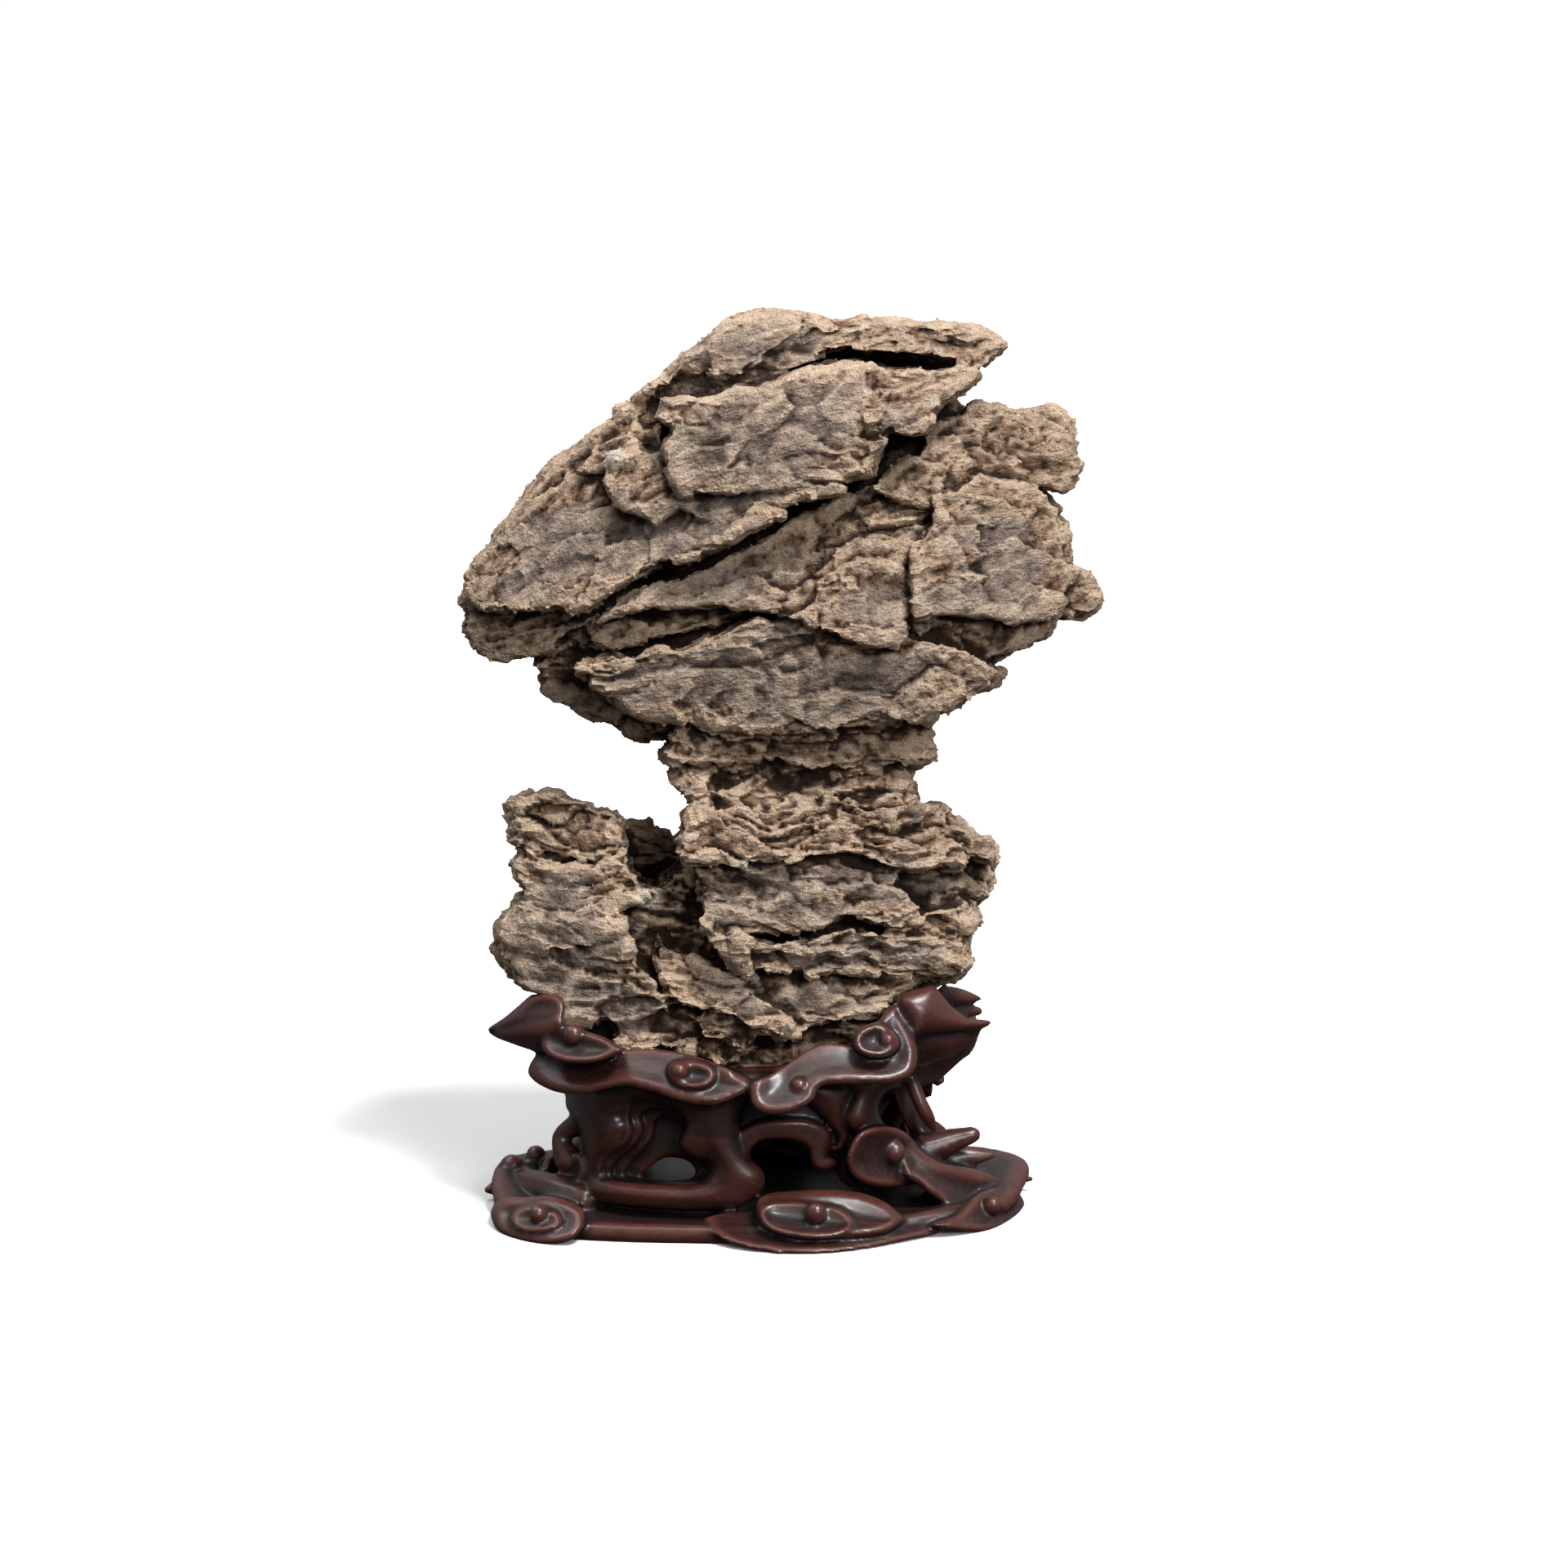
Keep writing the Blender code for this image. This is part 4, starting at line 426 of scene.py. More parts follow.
# The ring under the tray that the legs grow from: its oval, its height and its profile.
WAIST_CENTRE = (-19, 0)
WAIST_REACH = (65, 50)
WAIST_HEIGHT = 50
WAIST_PROFILE = (
    (0.7, 1, 4), (1.04, 1, 4), (0.98, 1, -8), (0.92, 1, -16), (0.8, 1, -16), (0.76, 1, -8), (0.66, 1, 0))

# The scrolls at the back and sides, as (x, y, z, radius, the way it faces in degrees), how far
# they lean back, and the size of the bead at the heart of each.
BACK_SCROLLS = (
    (54, 50, 16, 17, 150), (-8, 62, 14, 20, 180), (-70, 46, 15, 16, 205), (30, 52, 64, 12, 165),
    (-36, 54, 64, 13, 190), (60, 34, 70, 11, 130), (-84, 34, 72, 11, 225))
SCROLL_LEAN = 0.9
HEART = 0.24


def stand_back(bm):
    """The ring under the tray, and the legs and scrolls at the back in the manner of the front."""
    oval = [(WAIST_CENTRE[0] + WAIST_REACH[0] * math.cos(turn), WAIST_REACH[1] * math.sin(turn),
             WAIST_HEIGHT) for turn in (2 * math.pi * k / 12 for k in range(12))]
    dish(bm, WAIST_CENTRE, oval, WAIST_PROFILE)
    waist(bm, 180)
    for across, depth, lean in ((40, 14, 4), (-76, 10, -4)):
        limb(bm, [(across, 78, depth * 0.9, 15, 9), (across + lean * 0.5, 64, depth, 12, 9),
                  (across - lean * 0.5, 46, depth * 1.15, 10, 8), (across * 1.1, 24, depth * 1.4, 16, 9)])
    for x, y, z, wide, swing in BACK_SCROLLS:
        facing = Vector((0, -math.cos(SCROLL_LEAN), math.sin(SCROLL_LEAN)))
        facing.rotate(Matrix.Rotation(math.radians(swing), 3, "Z"))
        spot = Vector((x, y, z)) * MM
        saucer(bm, spot, facing, wide)
        knob(bm, spot + facing * 1.5 * MM, HEART * wide)


def evaluated(obj):
    """The object's mesh after its modifiers."""
    depsgraph = bpy.context.evaluated_depsgraph_get()
    depsgraph.update()
    return bpy.data.meshes.new_from_object(obj.evaluated_get(depsgraph))


def as_object(bm, name):
    """Puts what has been built into the scene as a new object."""
    mesh = bpy.data.meshes.new(name)
    bm.to_mesh(mesh)
    bm.free()
    obj = bpy.data.objects.new(name, mesh)
    bpy.context.collection.objects.link(obj)
    return obj


def grow(bm, name, voxel):
    """Grows a heap of shells into one body, and returns it as a new object."""
    bmesh.ops.recalc_face_normals(bm, faces=bm.faces)
    obj = as_object(bm, name)
    remesh = obj.modifiers.new("Grow", "REMESH")
    remesh.mode = "VOXEL"
    remesh.voxel_size = voxel
    obj.data = evaluated(obj)
    obj.modifiers.clear()
    return obj


def keep_largest(bm):
    """Deletes every loose or sealed part but the body itself."""
    bm.verts.ensure_lookup_table()
    unseen = set(bm.verts)
    parts = []
    while unseen:
        seed = unseen.pop()
        part = [seed]
        queue = [seed]
        while queue:
            for edge in queue.pop().link_edges:
                for vert in edge.verts:
                    if vert in unseen:
                        unseen.discard(vert)
                        part.append(vert)
                        queue.append(vert)
        parts.append(part)
    parts.sort(key=len)
    for part in parts[:-1]:
        bmesh.ops.delete(bm, geom=part, context="VERTS")


def thin(obj, triangles):
    """Brings the object down to about this many triangles."""
    obj.data.calc_loop_triangles()
    decimate = obj.modifiers.new("Thin", "DECIMATE")
    decimate.ratio = triangles / len(obj.data.loop_triangles)
    obj.data = evaluated(obj)
    obj.modifiers.clear()


def add_node(tree, kind, inputs=None, **settings):
    """Adds a node, with its settings, and with each input set to a value or linked to a socket."""
    node = tree.nodes.new(kind)
    for name, value in settings.items():
        setattr(node, name, value)
    for name, value in (inputs or {}).items():
        if isinstance(value, bpy.types.NodeSocket):
            tree.links.new(value, node.inputs[name])
        else:
            node.inputs[name].default_value = value
    return node


def relief(mesh, passes):
    """How far each vertex stands out from its surroundings, in mm: ridges above 0, hollows below.

    The surroundings are the mesh smoothed by this many passes.
    """
    count = len(mesh.vertices)
    spots = np.empty(count * 3)
    mesh.vertices.foreach_get("co", spots)
    spots = spots.reshape(-1, 3)
    normals = np.empty(count * 3)
    mesh.vertex_normals.foreach_get("vector", normals)
    ends = np.empty(len(mesh.edges) * 2, dtype=np.int64)
    mesh.edges.foreach_get("vertices", ends)
    ends = ends.reshape(-1, 2)
    here = np.concatenate([ends[:, 0], ends[:, 1]])
    there = np.concatenate([ends[:, 1], ends[:, 0]])
    valence = np.bincount(here, minlength=count)
    soft = spots.copy()
    for _ in range(passes):
        soft = np.stack([np.bincount(here, soft[there, k], count) / valence for k in range(3)], axis=1)
    return ((spots - soft) * normals.reshape(-1, 3)).sum(axis=1) / MM


def paint(mesh, name, values):
    """Keeps one value for each vertex under a name that a material can read."""
    layer = mesh.attributes.new(name, "FLOAT", "POINT")
    layer.data.foreach_set("value", np.clip(values, 0, 1).astype(np.float32))


# The rock's foot sinks into the tray in two steps that overlap, as heights from and to, in mm.
FOOT_STEPS = ((0, 78), (66, 132))


def seat(stone, low, high):
    """A convex cutter round the part of the rock between two heights, a gap larger than it."""
    bm = bmesh.new()
    for vert in stone.data.vertices:
        if low <= vert.co.z <= high:
            bm.verts.new(vert.co)
    bmesh.ops.remove_doubles(bm, verts=bm.verts, dist=0.01 * MM)
    hull = bmesh.ops.convex_hull(bm, input=bm.verts)
    inside = {item for item in hull["geom_interior"] + hull["geom_unused"]
              if isinstance(item, bmesh.types.BMVert)}
    bmesh.ops.delete(bm, geom=list(inside), context="VERTS")
    bmesh.ops.recalc_face_normals(bm, faces=bm.faces)
    bm.normal_update()
    # Each corner moves far enough for every face beside it to stand the whole gap away.
    moves = [vert.normal * SEAT_GAP
             / max(0.5, min(vert.normal.dot(f.normal) for f in vert.link_faces)) for vert in bm.verts]
    for vert, move in zip(bm.verts, moves):
        vert.co += move
    return as_object(bm, "seat")


def ground(size=0.4):
    """What lies below the surface that the stand rests on."""
    bm = bmesh.new()
    bmesh.ops.create_cube(bm, size=size, matrix=Matrix.Translation((0, 0, -size / 2)))
    return as_object(bm, "ground")


def cut(obj, cutter):
    """Takes the cutter out of the object for good."""
    boolean = obj.modifiers.new("Cut", "BOOLEAN")
    boolean.operation = "DIFFERENCE"
    boolean.solver = "MANIFOLD"
    boolean.object = cutter
    obj.data = evaluated(obj)
    obj.modifiers.clear()
    bpy.data.objects.remove(cutter)


def srgb(hex_colour):
    """A hex colour as the linear colour that a shader takes."""
    parts = [int(hex_colour[i:i + 2], 16) / 255 for i in (1, 3, 5)]
    return tuple(c / 12.92 if c <= 0.04045 else ((c + 0.055) / 1.055) ** 2.4 for c in parts) + (1.0,)


def ramp(tree, value, *stops):
    """A colour ramp over (position, hex colour) stops."""
    node = add_node(tree, "ShaderNodeValToRGB", {"Fac": value})
    while len(node.color_ramp.elements) < len(stops):
        node.color_ramp.elements.new(0.5)
    for element, (position, colour) in zip(node.color_ramp.elements, stops):
        element.position = position
        element.color = srgb(colour)
    return node.outputs["Color"]


# Waxed dark hardwood, such as old rosewood or red sandalwood: scraped and polished, almost
# black-brown, redder where hands have worn its edges, darker with painted shade and old wax in the
# hollows, and duller there.  The grain runs along the block's length.  Real pores are about half
# as wide as these, which are drawn as coarse as they need to show.
hardwood = bpy.data.materials.new("waxed dark hardwood")
hardwood.use_nodes = True
tree = hardwood.node_tree
shader = tree.nodes["Principled BSDF"]
place = add_node(tree, "ShaderNodeTexCoord").outputs["Object"]
FIGURE_LENGTH = 18 * MM
FIGURE_WIDTH = 2.2 * MM
PORE_LENGTH = 4 * MM
PORE_WIDTH = 0.35 * MM
CLOUD = 13 * MM
figure = add_node(tree, "ShaderNodeTexNoise", {
    "Vector": add_node(tree, "ShaderNodeMapping", {
        "Vector": place, "Scale": (1 / FIGURE_LENGTH, 1 / FIGURE_WIDTH, 1 / FIGURE_WIDTH)}).outputs[0],
    "Scale": 1.0, "Detail": 4.0, "Roughness": 0.6, "Distortion": 0.8}).outputs["Fac"]
pores = add_node(tree, "ShaderNodeTexNoise", {
    "Vector": add_node(tree, "ShaderNodeMapping", {
        "Vector": place, "Scale": (1 / PORE_LENGTH, 1 / PORE_WIDTH, 1 / PORE_WIDTH)}).outputs[0],
    "Scale": 1.0, "Detail": 2.0}).outputs["Fac"]
cloud = add_node(tree, "ShaderNodeTexNoise", {
    "Vector": place, "Scale": 1 / CLOUD, "Detail": 5.0, "Roughness": 0.66}).outputs["Fac"]
edge = add_node(tree, "ShaderNodeAttribute", attribute_name="edge").outputs["Fac"]
hollow = add_node(tree, "ShaderNodeAttribute", attribute_name="hollow").outputs["Fac"]
plain = ramp(tree, figure, (0.34, "#21110f"), (0.52, "#321b18"), (0.70, "#432520"))
handled = add_node(tree, "ShaderNodeMath", {0: edge, 1: cloud}, operation="MULTIPLY").outputs[0]
worn_by = add_node(tree, "ShaderNodeMapRange", {
    "Value": handled, "From Min": 0.14, "From Max": 0.62}).outputs[0]
worn = add_node(tree, "ShaderNodeMix", {
    0: worn_by, 6: plain, 7: srgb("#532d25")}, data_type="RGBA").outputs[2]
# Painted shade with old wax: the hollows are mixed towards near-black.
deep = add_node(tree, "ShaderNodeMix", {
    0: hollow, 6: worn, 7: srgb("#170c0a")}, data_type="RGBA").outputs[2]
pored_by = add_node(tree, "ShaderNodeMapRange", {
    "Value": pores, "From Min": 0.60, "From Max": 0.72, "To Max": 0.55}).outputs[0]
pored = add_node(tree, "ShaderNodeMix", {
    0: pored_by, 6: deep, 7: srgb("#0f0706")}, data_type="RGBA").outputs[2]
tree.links.new(pored, shader.inputs["Base Color"])
gloss = add_node(tree, "ShaderNodeMapRange", {
    "Value": cloud, "From Min": 0.3, "From Max": 0.7, "To Min": 0.26, "To Max": 0.46}).outputs[0]
dulled = add_node(tree, "ShaderNodeMath", {
    0: hollow, 1: 0.25, 2: gloss}, operation="MULTIPLY_ADD").outputs[0]
tree.links.new(dulled, shader.inputs["Roughness"])
shader.inputs["IOR"].default_value = 1.5
shader.inputs["Specular IOR Level"].default_value = 0.35
shader.inputs["Coat Weight"].default_value = 0.4
shader.inputs["Coat Roughness"].default_value = 0.28
height = add_node(tree, "ShaderNodeMath", {
    0: pores, 1: 0.3, 2: cloud}, operation="MULTIPLY_ADD").outputs[0]
bump = add_node(tree, "ShaderNodeBump", {
    "Height": height, "Strength": 0.35, "Distance": 0.7 * MM}).outputs[0]
tree.links.new(bump, shader.inputs["Normal"])

# The block is grown from its forms, scraped smooth, cut to the rock's foot and to the ground,
# and its edges and hollows are marked for the wood.
heap = bmesh.new()
dish(heap, TRAY_CENTRE, TRAY_LIP, TRAY_PROFILE)
dish(heap, BASE_CENTRE, BASE_LIP, BASE_PROFILE)
stand_front(heap)
stand_back(heap)
stand = grow(heap, "carved_stand", STAND_VOXEL)
bm = bmesh.new()
bm.from_mesh(stand.data)
keep_largest(bm)
for _ in range(2):
    bmesh.ops.smooth_vert(
        bm, verts=bm.verts, factor=0.5, use_axis_x=True, use_axis_y=True, use_axis_z=True)
bm.to_mesh(stand.data)
bm.free()
for low, high in FOOT_STEPS:
    cut(stand, seat(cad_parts["stone"], low * MM, high * MM))
cut(stand, ground())
thin(stand, STAND_TRIANGLES)
stand.data.shade_smooth()
fine = relief(stand.data, passes=6)
broad = relief(stand.data, passes=60)
paint(stand.data, "edge", fine * 2.2 + broad * 0.25)
# hollow marks where painted shade and old wax darken the wood.
paint(stand.data, "hollow", -fine * 1.6 - broad * 0.35)
stand.data.materials.clear()
stand.data.materials.append(hardwood)
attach(stand, "root")
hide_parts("stand")


# ---------------------------------------------------------------------------------------------
# The rock.  One piece of layered limestone, weathered until its beds stand apart as plates and
# ledges, with clean grey faces, a tan crust, and brown earth and painted shade in the cracks.
# Nothing fixes it: its foot rests in the hollow of the tray.
# ---------------------------------------------------------------------------------------------

STONE_VOXEL = 1.1 * MM
STONE_TRIANGLES = 196000

# Faces that meet at more than this angle meet in a crisp broken edge.
BREAK_ANGLE = math.radians(32.0)

# The steps in which a plate's rims round over, from its edge inwards.
ROUNDING = (0.0, 0.12, 0.35, 0.65, 1.0)


def plate(bm, front, back, lean, outline, rim=(2.5, 3), heel=(16, 24)):
    """A plate of stone: a drawn outline from depth front to depth back, with worn rims.

    lean is how far the plate falls back for each mm to the right and each mm up.  rim and heel
    are how far the front and the back faces draw in, and over what depth.
    """
    across, up = zip(*outline)
    middle = ((max(across) + min(across)) / 2, (max(up) + min(up)) / 2)
    half = ((max(across) - min(across)) / 2, (max(up) - min(up)) / 2)
    insets = [1 - math.sqrt(1 - (1 - t) ** 2) for t in ROUNDING]
    levels = [(rim[0] * inset, front + rim[1] * t) for inset, t in zip(insets, ROUNDING)]
    levels += [(heel[0] * inset, back - heel[1] * t)
               for inset, t in reversed(list(zip(insets, ROUNDING)))]
    rings = []
    for inset, depth in levels:
        shrink = [max(0.15, 1 - inset / h) for h in half]
        ring = []
        for u, v in outline:
            du = (u - middle[0]) * shrink[0]
            dv = (v - middle[1]) * shrink[1]
            ring.append(at(middle[0] + du, middle[1] + dv, depth + lean[0] * du + lean[1] * dv))
        rings.append(ring)
    add_shell(bm, rings)


def head(bm):
    """The spreading head of the rock: a core, the plates on its front, and those behind."""
    # The core that carries every plate.
    plate(bm, -34, 60, (0.0, 0.10), [
        (-118, 272), (-112, 254), (-92, 250), (-84, 236), (-70, 225), (-48, 217), (-40, 204), (52, 204),
        (66, 224), (82, 240), (104, 256), (116, 270), (108, 292), (98, 318), (84, 338), (60, 346),
        (66, 370), (40, 376), (-8, 378), (-34, 366), (-55, 344), (-85, 322), (-108, 294)],
        rim=(14, 26), heel=(46, 56))
    # The cap, an overhanging slab that rises to the right.
    plate(bm, -51, 50, (-0.05, -0.4), [
        (-58, 344), (-60, 350), (-50, 356), (-45, 361), (-40, 367), (-33, 371), (-28, 377), (-22, 381),
        (-13, 383), (0, 383.5), (13, 383), (24, 380), (28, 381), (50, 380.5), (60, 379.5), (80, 378),
        (85, 375.5), (90, 371), (89, 369), (85, 365), (82, 362.5), (76, 362.5), (61, 367), (50, 369),
        (25, 370), (12, 366), (0, 360), (-20, 350), (-40, 340)], rim=(2, 4.5), heel=(26, 34))
    # The great grey plate that faces the front under the cap.
    plate(bm, -66, -6, (0.02, 0.16), [
        (-53, 341), (-49, 349), (-38, 349), (-28, 350), (-20, 354), (-12, 353), (0, 358), (10, 361),
        (25, 364), (33, 364), (50, 361.5), (60, 361), (66, 354), (62, 340), (57, 335), (52, 334),
        (42, 336), (42, 330), (38, 324), (35, 318), (30, 317), (20, 315), (10, 314), (0, 312),
        (-10, 311), (-20, 310), (-35, 310), (-42, 307), (-47, 315), (-50, 330), (-46, 336)],
        rim=(2.5, 4))
    plate(bm, -61, 0, (0.15, 0.16), [
        (44, 346), (50, 362), (60, 361), (78, 362), (80, 358), (75, 354), (70, 350), (65, 347),
        (62, 340), (52, 336)])
    # The thin tongue under the great plate.
    plate(bm, -67, -10, (-0.1, 0.2), [
        (-44, 306), (-46, 311), (-20, 313), (0, 315), (22, 317), (24, 312), (8, 309), (-10, 302),
        (-22, 297), (-35, 300)], rim=(1.5, 2))
    # The long slab that falls away to the left, and the lobe at its lower end.
    plate(bm, -54, 34, (-0.26, 0.36), [
        (-56, 347), (-66, 345), (-69, 340), (-76, 337), (-85, 329), (-94, 323), (-99, 318), (-104, 311),
        (-110, 303), (-119, 290), (-125, 284), (-130, 277), (-131, 268), (-124, 262), (-106, 262),
        (-85, 263), (-78, 265), (-72, 270), (-60, 277), (-50, 282), (-40, 282.5), (-28, 287),
        (-20, 292), (-10, 297), (0, 302), (-6, 306), (-22, 299), (-36, 303), (-46, 309), (-50, 322),
        (-50, 338)], rim=(3, 4.5))
    plate(bm, -38, 34, (-0.22, 0.3), [
        (-131.5, 266), (-127, 261), (-128, 258), (-130, 254), (-128, 247), (-120, 244), (-113, 244),
        (-104, 245), (-96, 246), (-90, 253), (-84, 260), (-88, 265), (-108, 266), (-124, 268)])
    # The crusty lobe between that slab and the great plate, and a leaf of stone above it.
    plate(bm, -62, -20, (-0.1, 0.25), [
        (-70, 325), (-60, 330), (-48, 327), (-42, 318), (-41, 306), (-52, 297), (-60, 301), (-69, 306),
        (-73, 315)])
    plate(bm, -50, -10, (-0.3, 0.3), [
        (-86, 319), (-78, 330), (-66, 336), (-56, 332), (-60, 322), (-72, 320)], rim=(1.5, 2))
    # The middle tongue, between the two long cracks, which runs up into the rubble on the right.
    plate(bm, -53, 10, (-0.05, 0.4), [
        (-79, 256), (-72, 261), (-66, 266), (-60, 269), (-50, 272), (-40, 276), (-30, 280), (-20, 286),
        (-10, 290), (0, 295), (12, 302), (22, 308), (35, 313), (46, 317), (60, 311), (62, 306),
        (58, 298), (50, 285), (46, 276), (30, 268), (12, 264), (-5, 261), (-10, 263), (-30, 264),
        (-45, 263), (-55, 264), (-64, 262)], rim=(2.5, 4))
    plate(bm, -47, 10, (-0.05, 0.5), [
        (-81, 256), (-78, 250), (-70, 246), (-60, 249.5), (-45, 253), (-30, 258), (-12, 263),
        (-30, 268), (-50, 269), (-66, 264)], rim=(1.5, 2))
    # The broad band that closes the head below, and the worn tip at its left end.
    plate(bm, -60, 20, (-0.04, -0.10), [
        (-86, 236), (-84, 241), (-70, 245), (-62, 243), (-57, 246), (-50, 248), (-45, 246), (-38, 248),
        (-30, 251), (-20, 256), (-10, 260), (-4, 258), (8, 260), (30, 256), (60, 250), (80, 244),
        (86, 238), (82, 231), (75, 227), (66, 221), (58, 217), (40, 215), (20, 213), (0, 213),
        (-20, 213), (-33, 214), (-40, 217), (-58, 219), (-65, 222), (-75, 230)], rim=(2.5, 4.5))
    plate(bm, -32, 34, (-0.15, -0.25), [
        (-97, 246), (-100, 243.5), (-102, 241), (-100, 237), (-101, 235), (-98, 231.5), (-99, 230),
        (-94, 227), (-90, 226), (-86, 221.5), (-82, 219.5), (-78, 217.5), (-70, 217), (-66, 215.5),
        (-63, 213), (-57, 211), (-50, 211), (-34, 214), (-56, 226), (-72, 238), (-84, 250), (-90, 249)])
    # The fan-shaped plate over the middle of the band.
    plate(bm, -65, -10, (0.02, 0.25), [
        (-4, 260), (8, 263), (12, 268), (14, 275), (22, 279), (30, 283), (44, 282), (57, 275),
        (58, 263), (50, 259), (48, 246), (40, 247), (30, 249), (20, 252), (10, 257)], rim=(2, 3))
    # The block that ends the head on the right, and the thinner bed under it.
    plate(bm, -58, 34, (0.24, 0.22), [
        (60, 310), (70, 311), (80, 318), (85, 317), (103, 313.5), (104, 310), (107, 309.5), (110, 306),
        (113, 304), (111, 302), (114, 298), (116, 292), (115, 288), (117, 280), (120, 279), (114, 268),
        (112, 261), (93, 257), (85, 260), (65, 261), (54, 259), (51, 262), (52, 275), (52, 284),
        (56, 293), (61, 300)], rim=(2.5, 4))
    plate(bm, -26, 26, (0.2, 0.1), [
        (108, 280), (117, 280), (120, 279), (125, 277), (128, 273.5), (130, 266), (128, 262), (124, 260),
        (112, 260), (104, 268)])
    plate(bm, -50, 26, (0.22, 0.05), [
        (53, 258), (65, 262), (85, 261), (112, 261), (111, 257), (107, 252), (103, 250.5), (97, 248),
        (94, 246.5), (82, 241), (65, 243), (56, 247)], rim=(2, 3))
    plate(bm, -38, 20, (0.2, 0.0), [
        (60, 250), (94, 248), (88, 244), (85, 242), (84, 240), (86, 238.5), (90, 238.5), (91, 236.5),
        (88, 235), (88, 232), (86, 230.5), (79, 230), (66, 226), (56, 236)])
    # The upper right lobe, and the rubble in the hollow beside it.
    plate(bm, -38, 30, (0.16, 0.25), [
        (58, 333), (66, 342), (73, 343), (75, 346), (79, 347), (83, 345), (90, 345), (100, 345),
        (108, 347), (111, 347), (115, 344), (118, 340), (118, 332), (119.5, 322), (119, 316),
        (117, 312.5), (114, 311), (108, 313), (103, 313.5), (98, 316), (90, 316), (80, 318), (70, 313),
        (60, 316)])
    plate(bm, -49, 10, (0.15, 0.4), [
        (36, 312), (42, 318), (52, 325), (62, 332), (70, 334), (78, 322), (70, 308), (60, 304),
        (48, 306)])


def neck(bm):
    """The neck: thin level beds, each standing in or out a little."""
    plate(bm, -50, 38, (0.05, -0.1), [
        (-47, 211), (-49, 205), (-48, 200), (-45, 198.5), (-2, 201), (10, 200), (20, 198), (30, 196),
        (38, 197), (48, 200), (53, 199), (56, 199.5), (60, 201.5), (61.5, 204), (60, 208), (59, 213),
        (40, 219), (0, 219), (-30, 217), (-42, 215)], rim=(2, 3), heel=(20, 26))
    plate(bm, -46, 36, (0.05, 0.15), [
        (-45, 200), (-45.5, 194), (-43, 192), (-40, 189), (-38, 186), (-35, 181), (-10, 180), (20, 178),
        (50, 180), (54, 185), (52, 189), (49, 193), (50, 196), (48, 199), (20, 201), (-20, 202)],
        rim=(2, 3), heel=(20, 26))
    plate(bm, -52, 20, (0.0, 0.4), [(-36, 190), (-10, 192), (6, 187), (18, 181), (-4, 174), (-30, 176)],
          rim=(1.5, 2.5))
    plate(bm, -50, 20, (0.1, 0.4), [
        (16, 186), (34, 184), (47, 191), (54, 184), (58, 176), (30, 172), (14, 176)], rim=(1.5, 2.5))


def body(bm):
    """The lower body: the block under the neck, the sloping plates in the middle, and the foot."""
    plate(bm, -40, 48, (0.0, 0.05), [
        (-40, 176), (-44, 160), (-60, 146), (-86, 148), (-104, 134), (-100, 112), (-84, 100), (-60, 92),
        (-20, 88), (30, 94), (52, 106), (66, 114), (74, 130), (80, 150), (78, 166), (60, 178),
        (20, 182)], rim=(10, 18), heel=(26, 36))
    # The shoulder of the block, its middle, with a hollow on the right, and its lowest part.
    plate(bm, -55, 40, (0.16, 0.35), [
        (-35, 182.5), (-40, 179), (-42, 176), (-41, 174), (-45, 170), (-43, 167), (-40, 160), (-20, 158),
        (10, 162), (27, 162), (35, 160), (45, 157), (60, 158), (85, 160), (86, 166), (84, 168.5),
        (80, 169.5), (76, 173), (68, 176), (66, 181), (63, 182.5), (57, 182), (40, 180), (10, 184)])
    plate(bm, -57, 40, (0.14, 0.1), [
        (-40, 162), (-37, 150), (-34, 140), (-35, 134), (-20, 131), (10, 131), (25, 137), (48, 133),
        (54, 136), (52, 146), (46, 150), (48, 156), (30, 160), (0, 161)])
    plate(bm, -30, 40, (0.2, 0.1), [
        (50, 160), (85, 162), (85.5, 153), (84, 150), (82, 146), (79, 145), (79.5, 140), (77, 130),
        (50, 130), (44, 146)])
    plate(bm, -48, 36, (0.16, -0.05), [
        (40, 134), (66, 142), (79, 144), (79.5, 140), (77, 130), (75, 125), (64, 124), (48, 126)])
    plate(bm, -57, 38, (0.16, -0.15), [
        (-35, 135), (-30, 131), (-27, 127), (-25, 122), (-20, 116), (-15, 112), (-10, 114), (0, 114),
        (10, 113), (27, 114), (35, 113), (45, 111), (60, 111), (66, 112), (70, 115), (73, 120),
        (75, 125), (64, 128), (44, 131), (26, 133), (12, 128), (-10, 127), (-28, 133)])
    # The bed beneath the block, and the plates that slope down to the right before it.
    plate(bm, -52, 34, (0.12, 0.2), [
        (47, 108), (40, 100), (35, 96), (20, 96), (10, 91), (5, 87), (-5, 87), (-12, 91), (-30, 98),
        (-30, 114), (0, 116), (40, 114), (58, 112)])
    plate(bm, -56, 0, (-0.06, 0.45), [
        (-52, 130), (-45, 125), (-30, 117), (-18, 111), (-5, 104), (6, 96), (0, 88), (-12, 91),
        (-20, 95), (-30, 99), (-45, 102), (-50, 112), (-54, 120)], rim=(2, 3))
    plate(bm, -58, 0, (0.0, 0.4), [
        (-35, 88), (-28, 87), (-22, 82), (-16, 80), (-12, 82), (-9, 88), (-12, 94), (-25, 98),
        (-38, 97)], rim=(1.5, 2.5))
    # The foot, which goes down into the stand.
    plate(bm, -42, 38, (0.0, 0.1), [
        (-72, 96), (-68, 86), (-60, 79), (-46, 74), (-20, 69), (6, 69), (24, 74), (38, 88), (50, 102),
        (46, 112), (-60, 112)], rim=(4, 5), heel=(14, 18))
    plate(bm, -52, 0, (0.0, 0.3), [
        (-70, 92), (-68, 86), (-60, 84), (-52, 87), (-45, 83), (-38, 81), (-32, 78), (-27, 75), (-18, 78),
        (-16, 90), (-40, 100), (-60, 98)], rim=(1.5, 2.5))


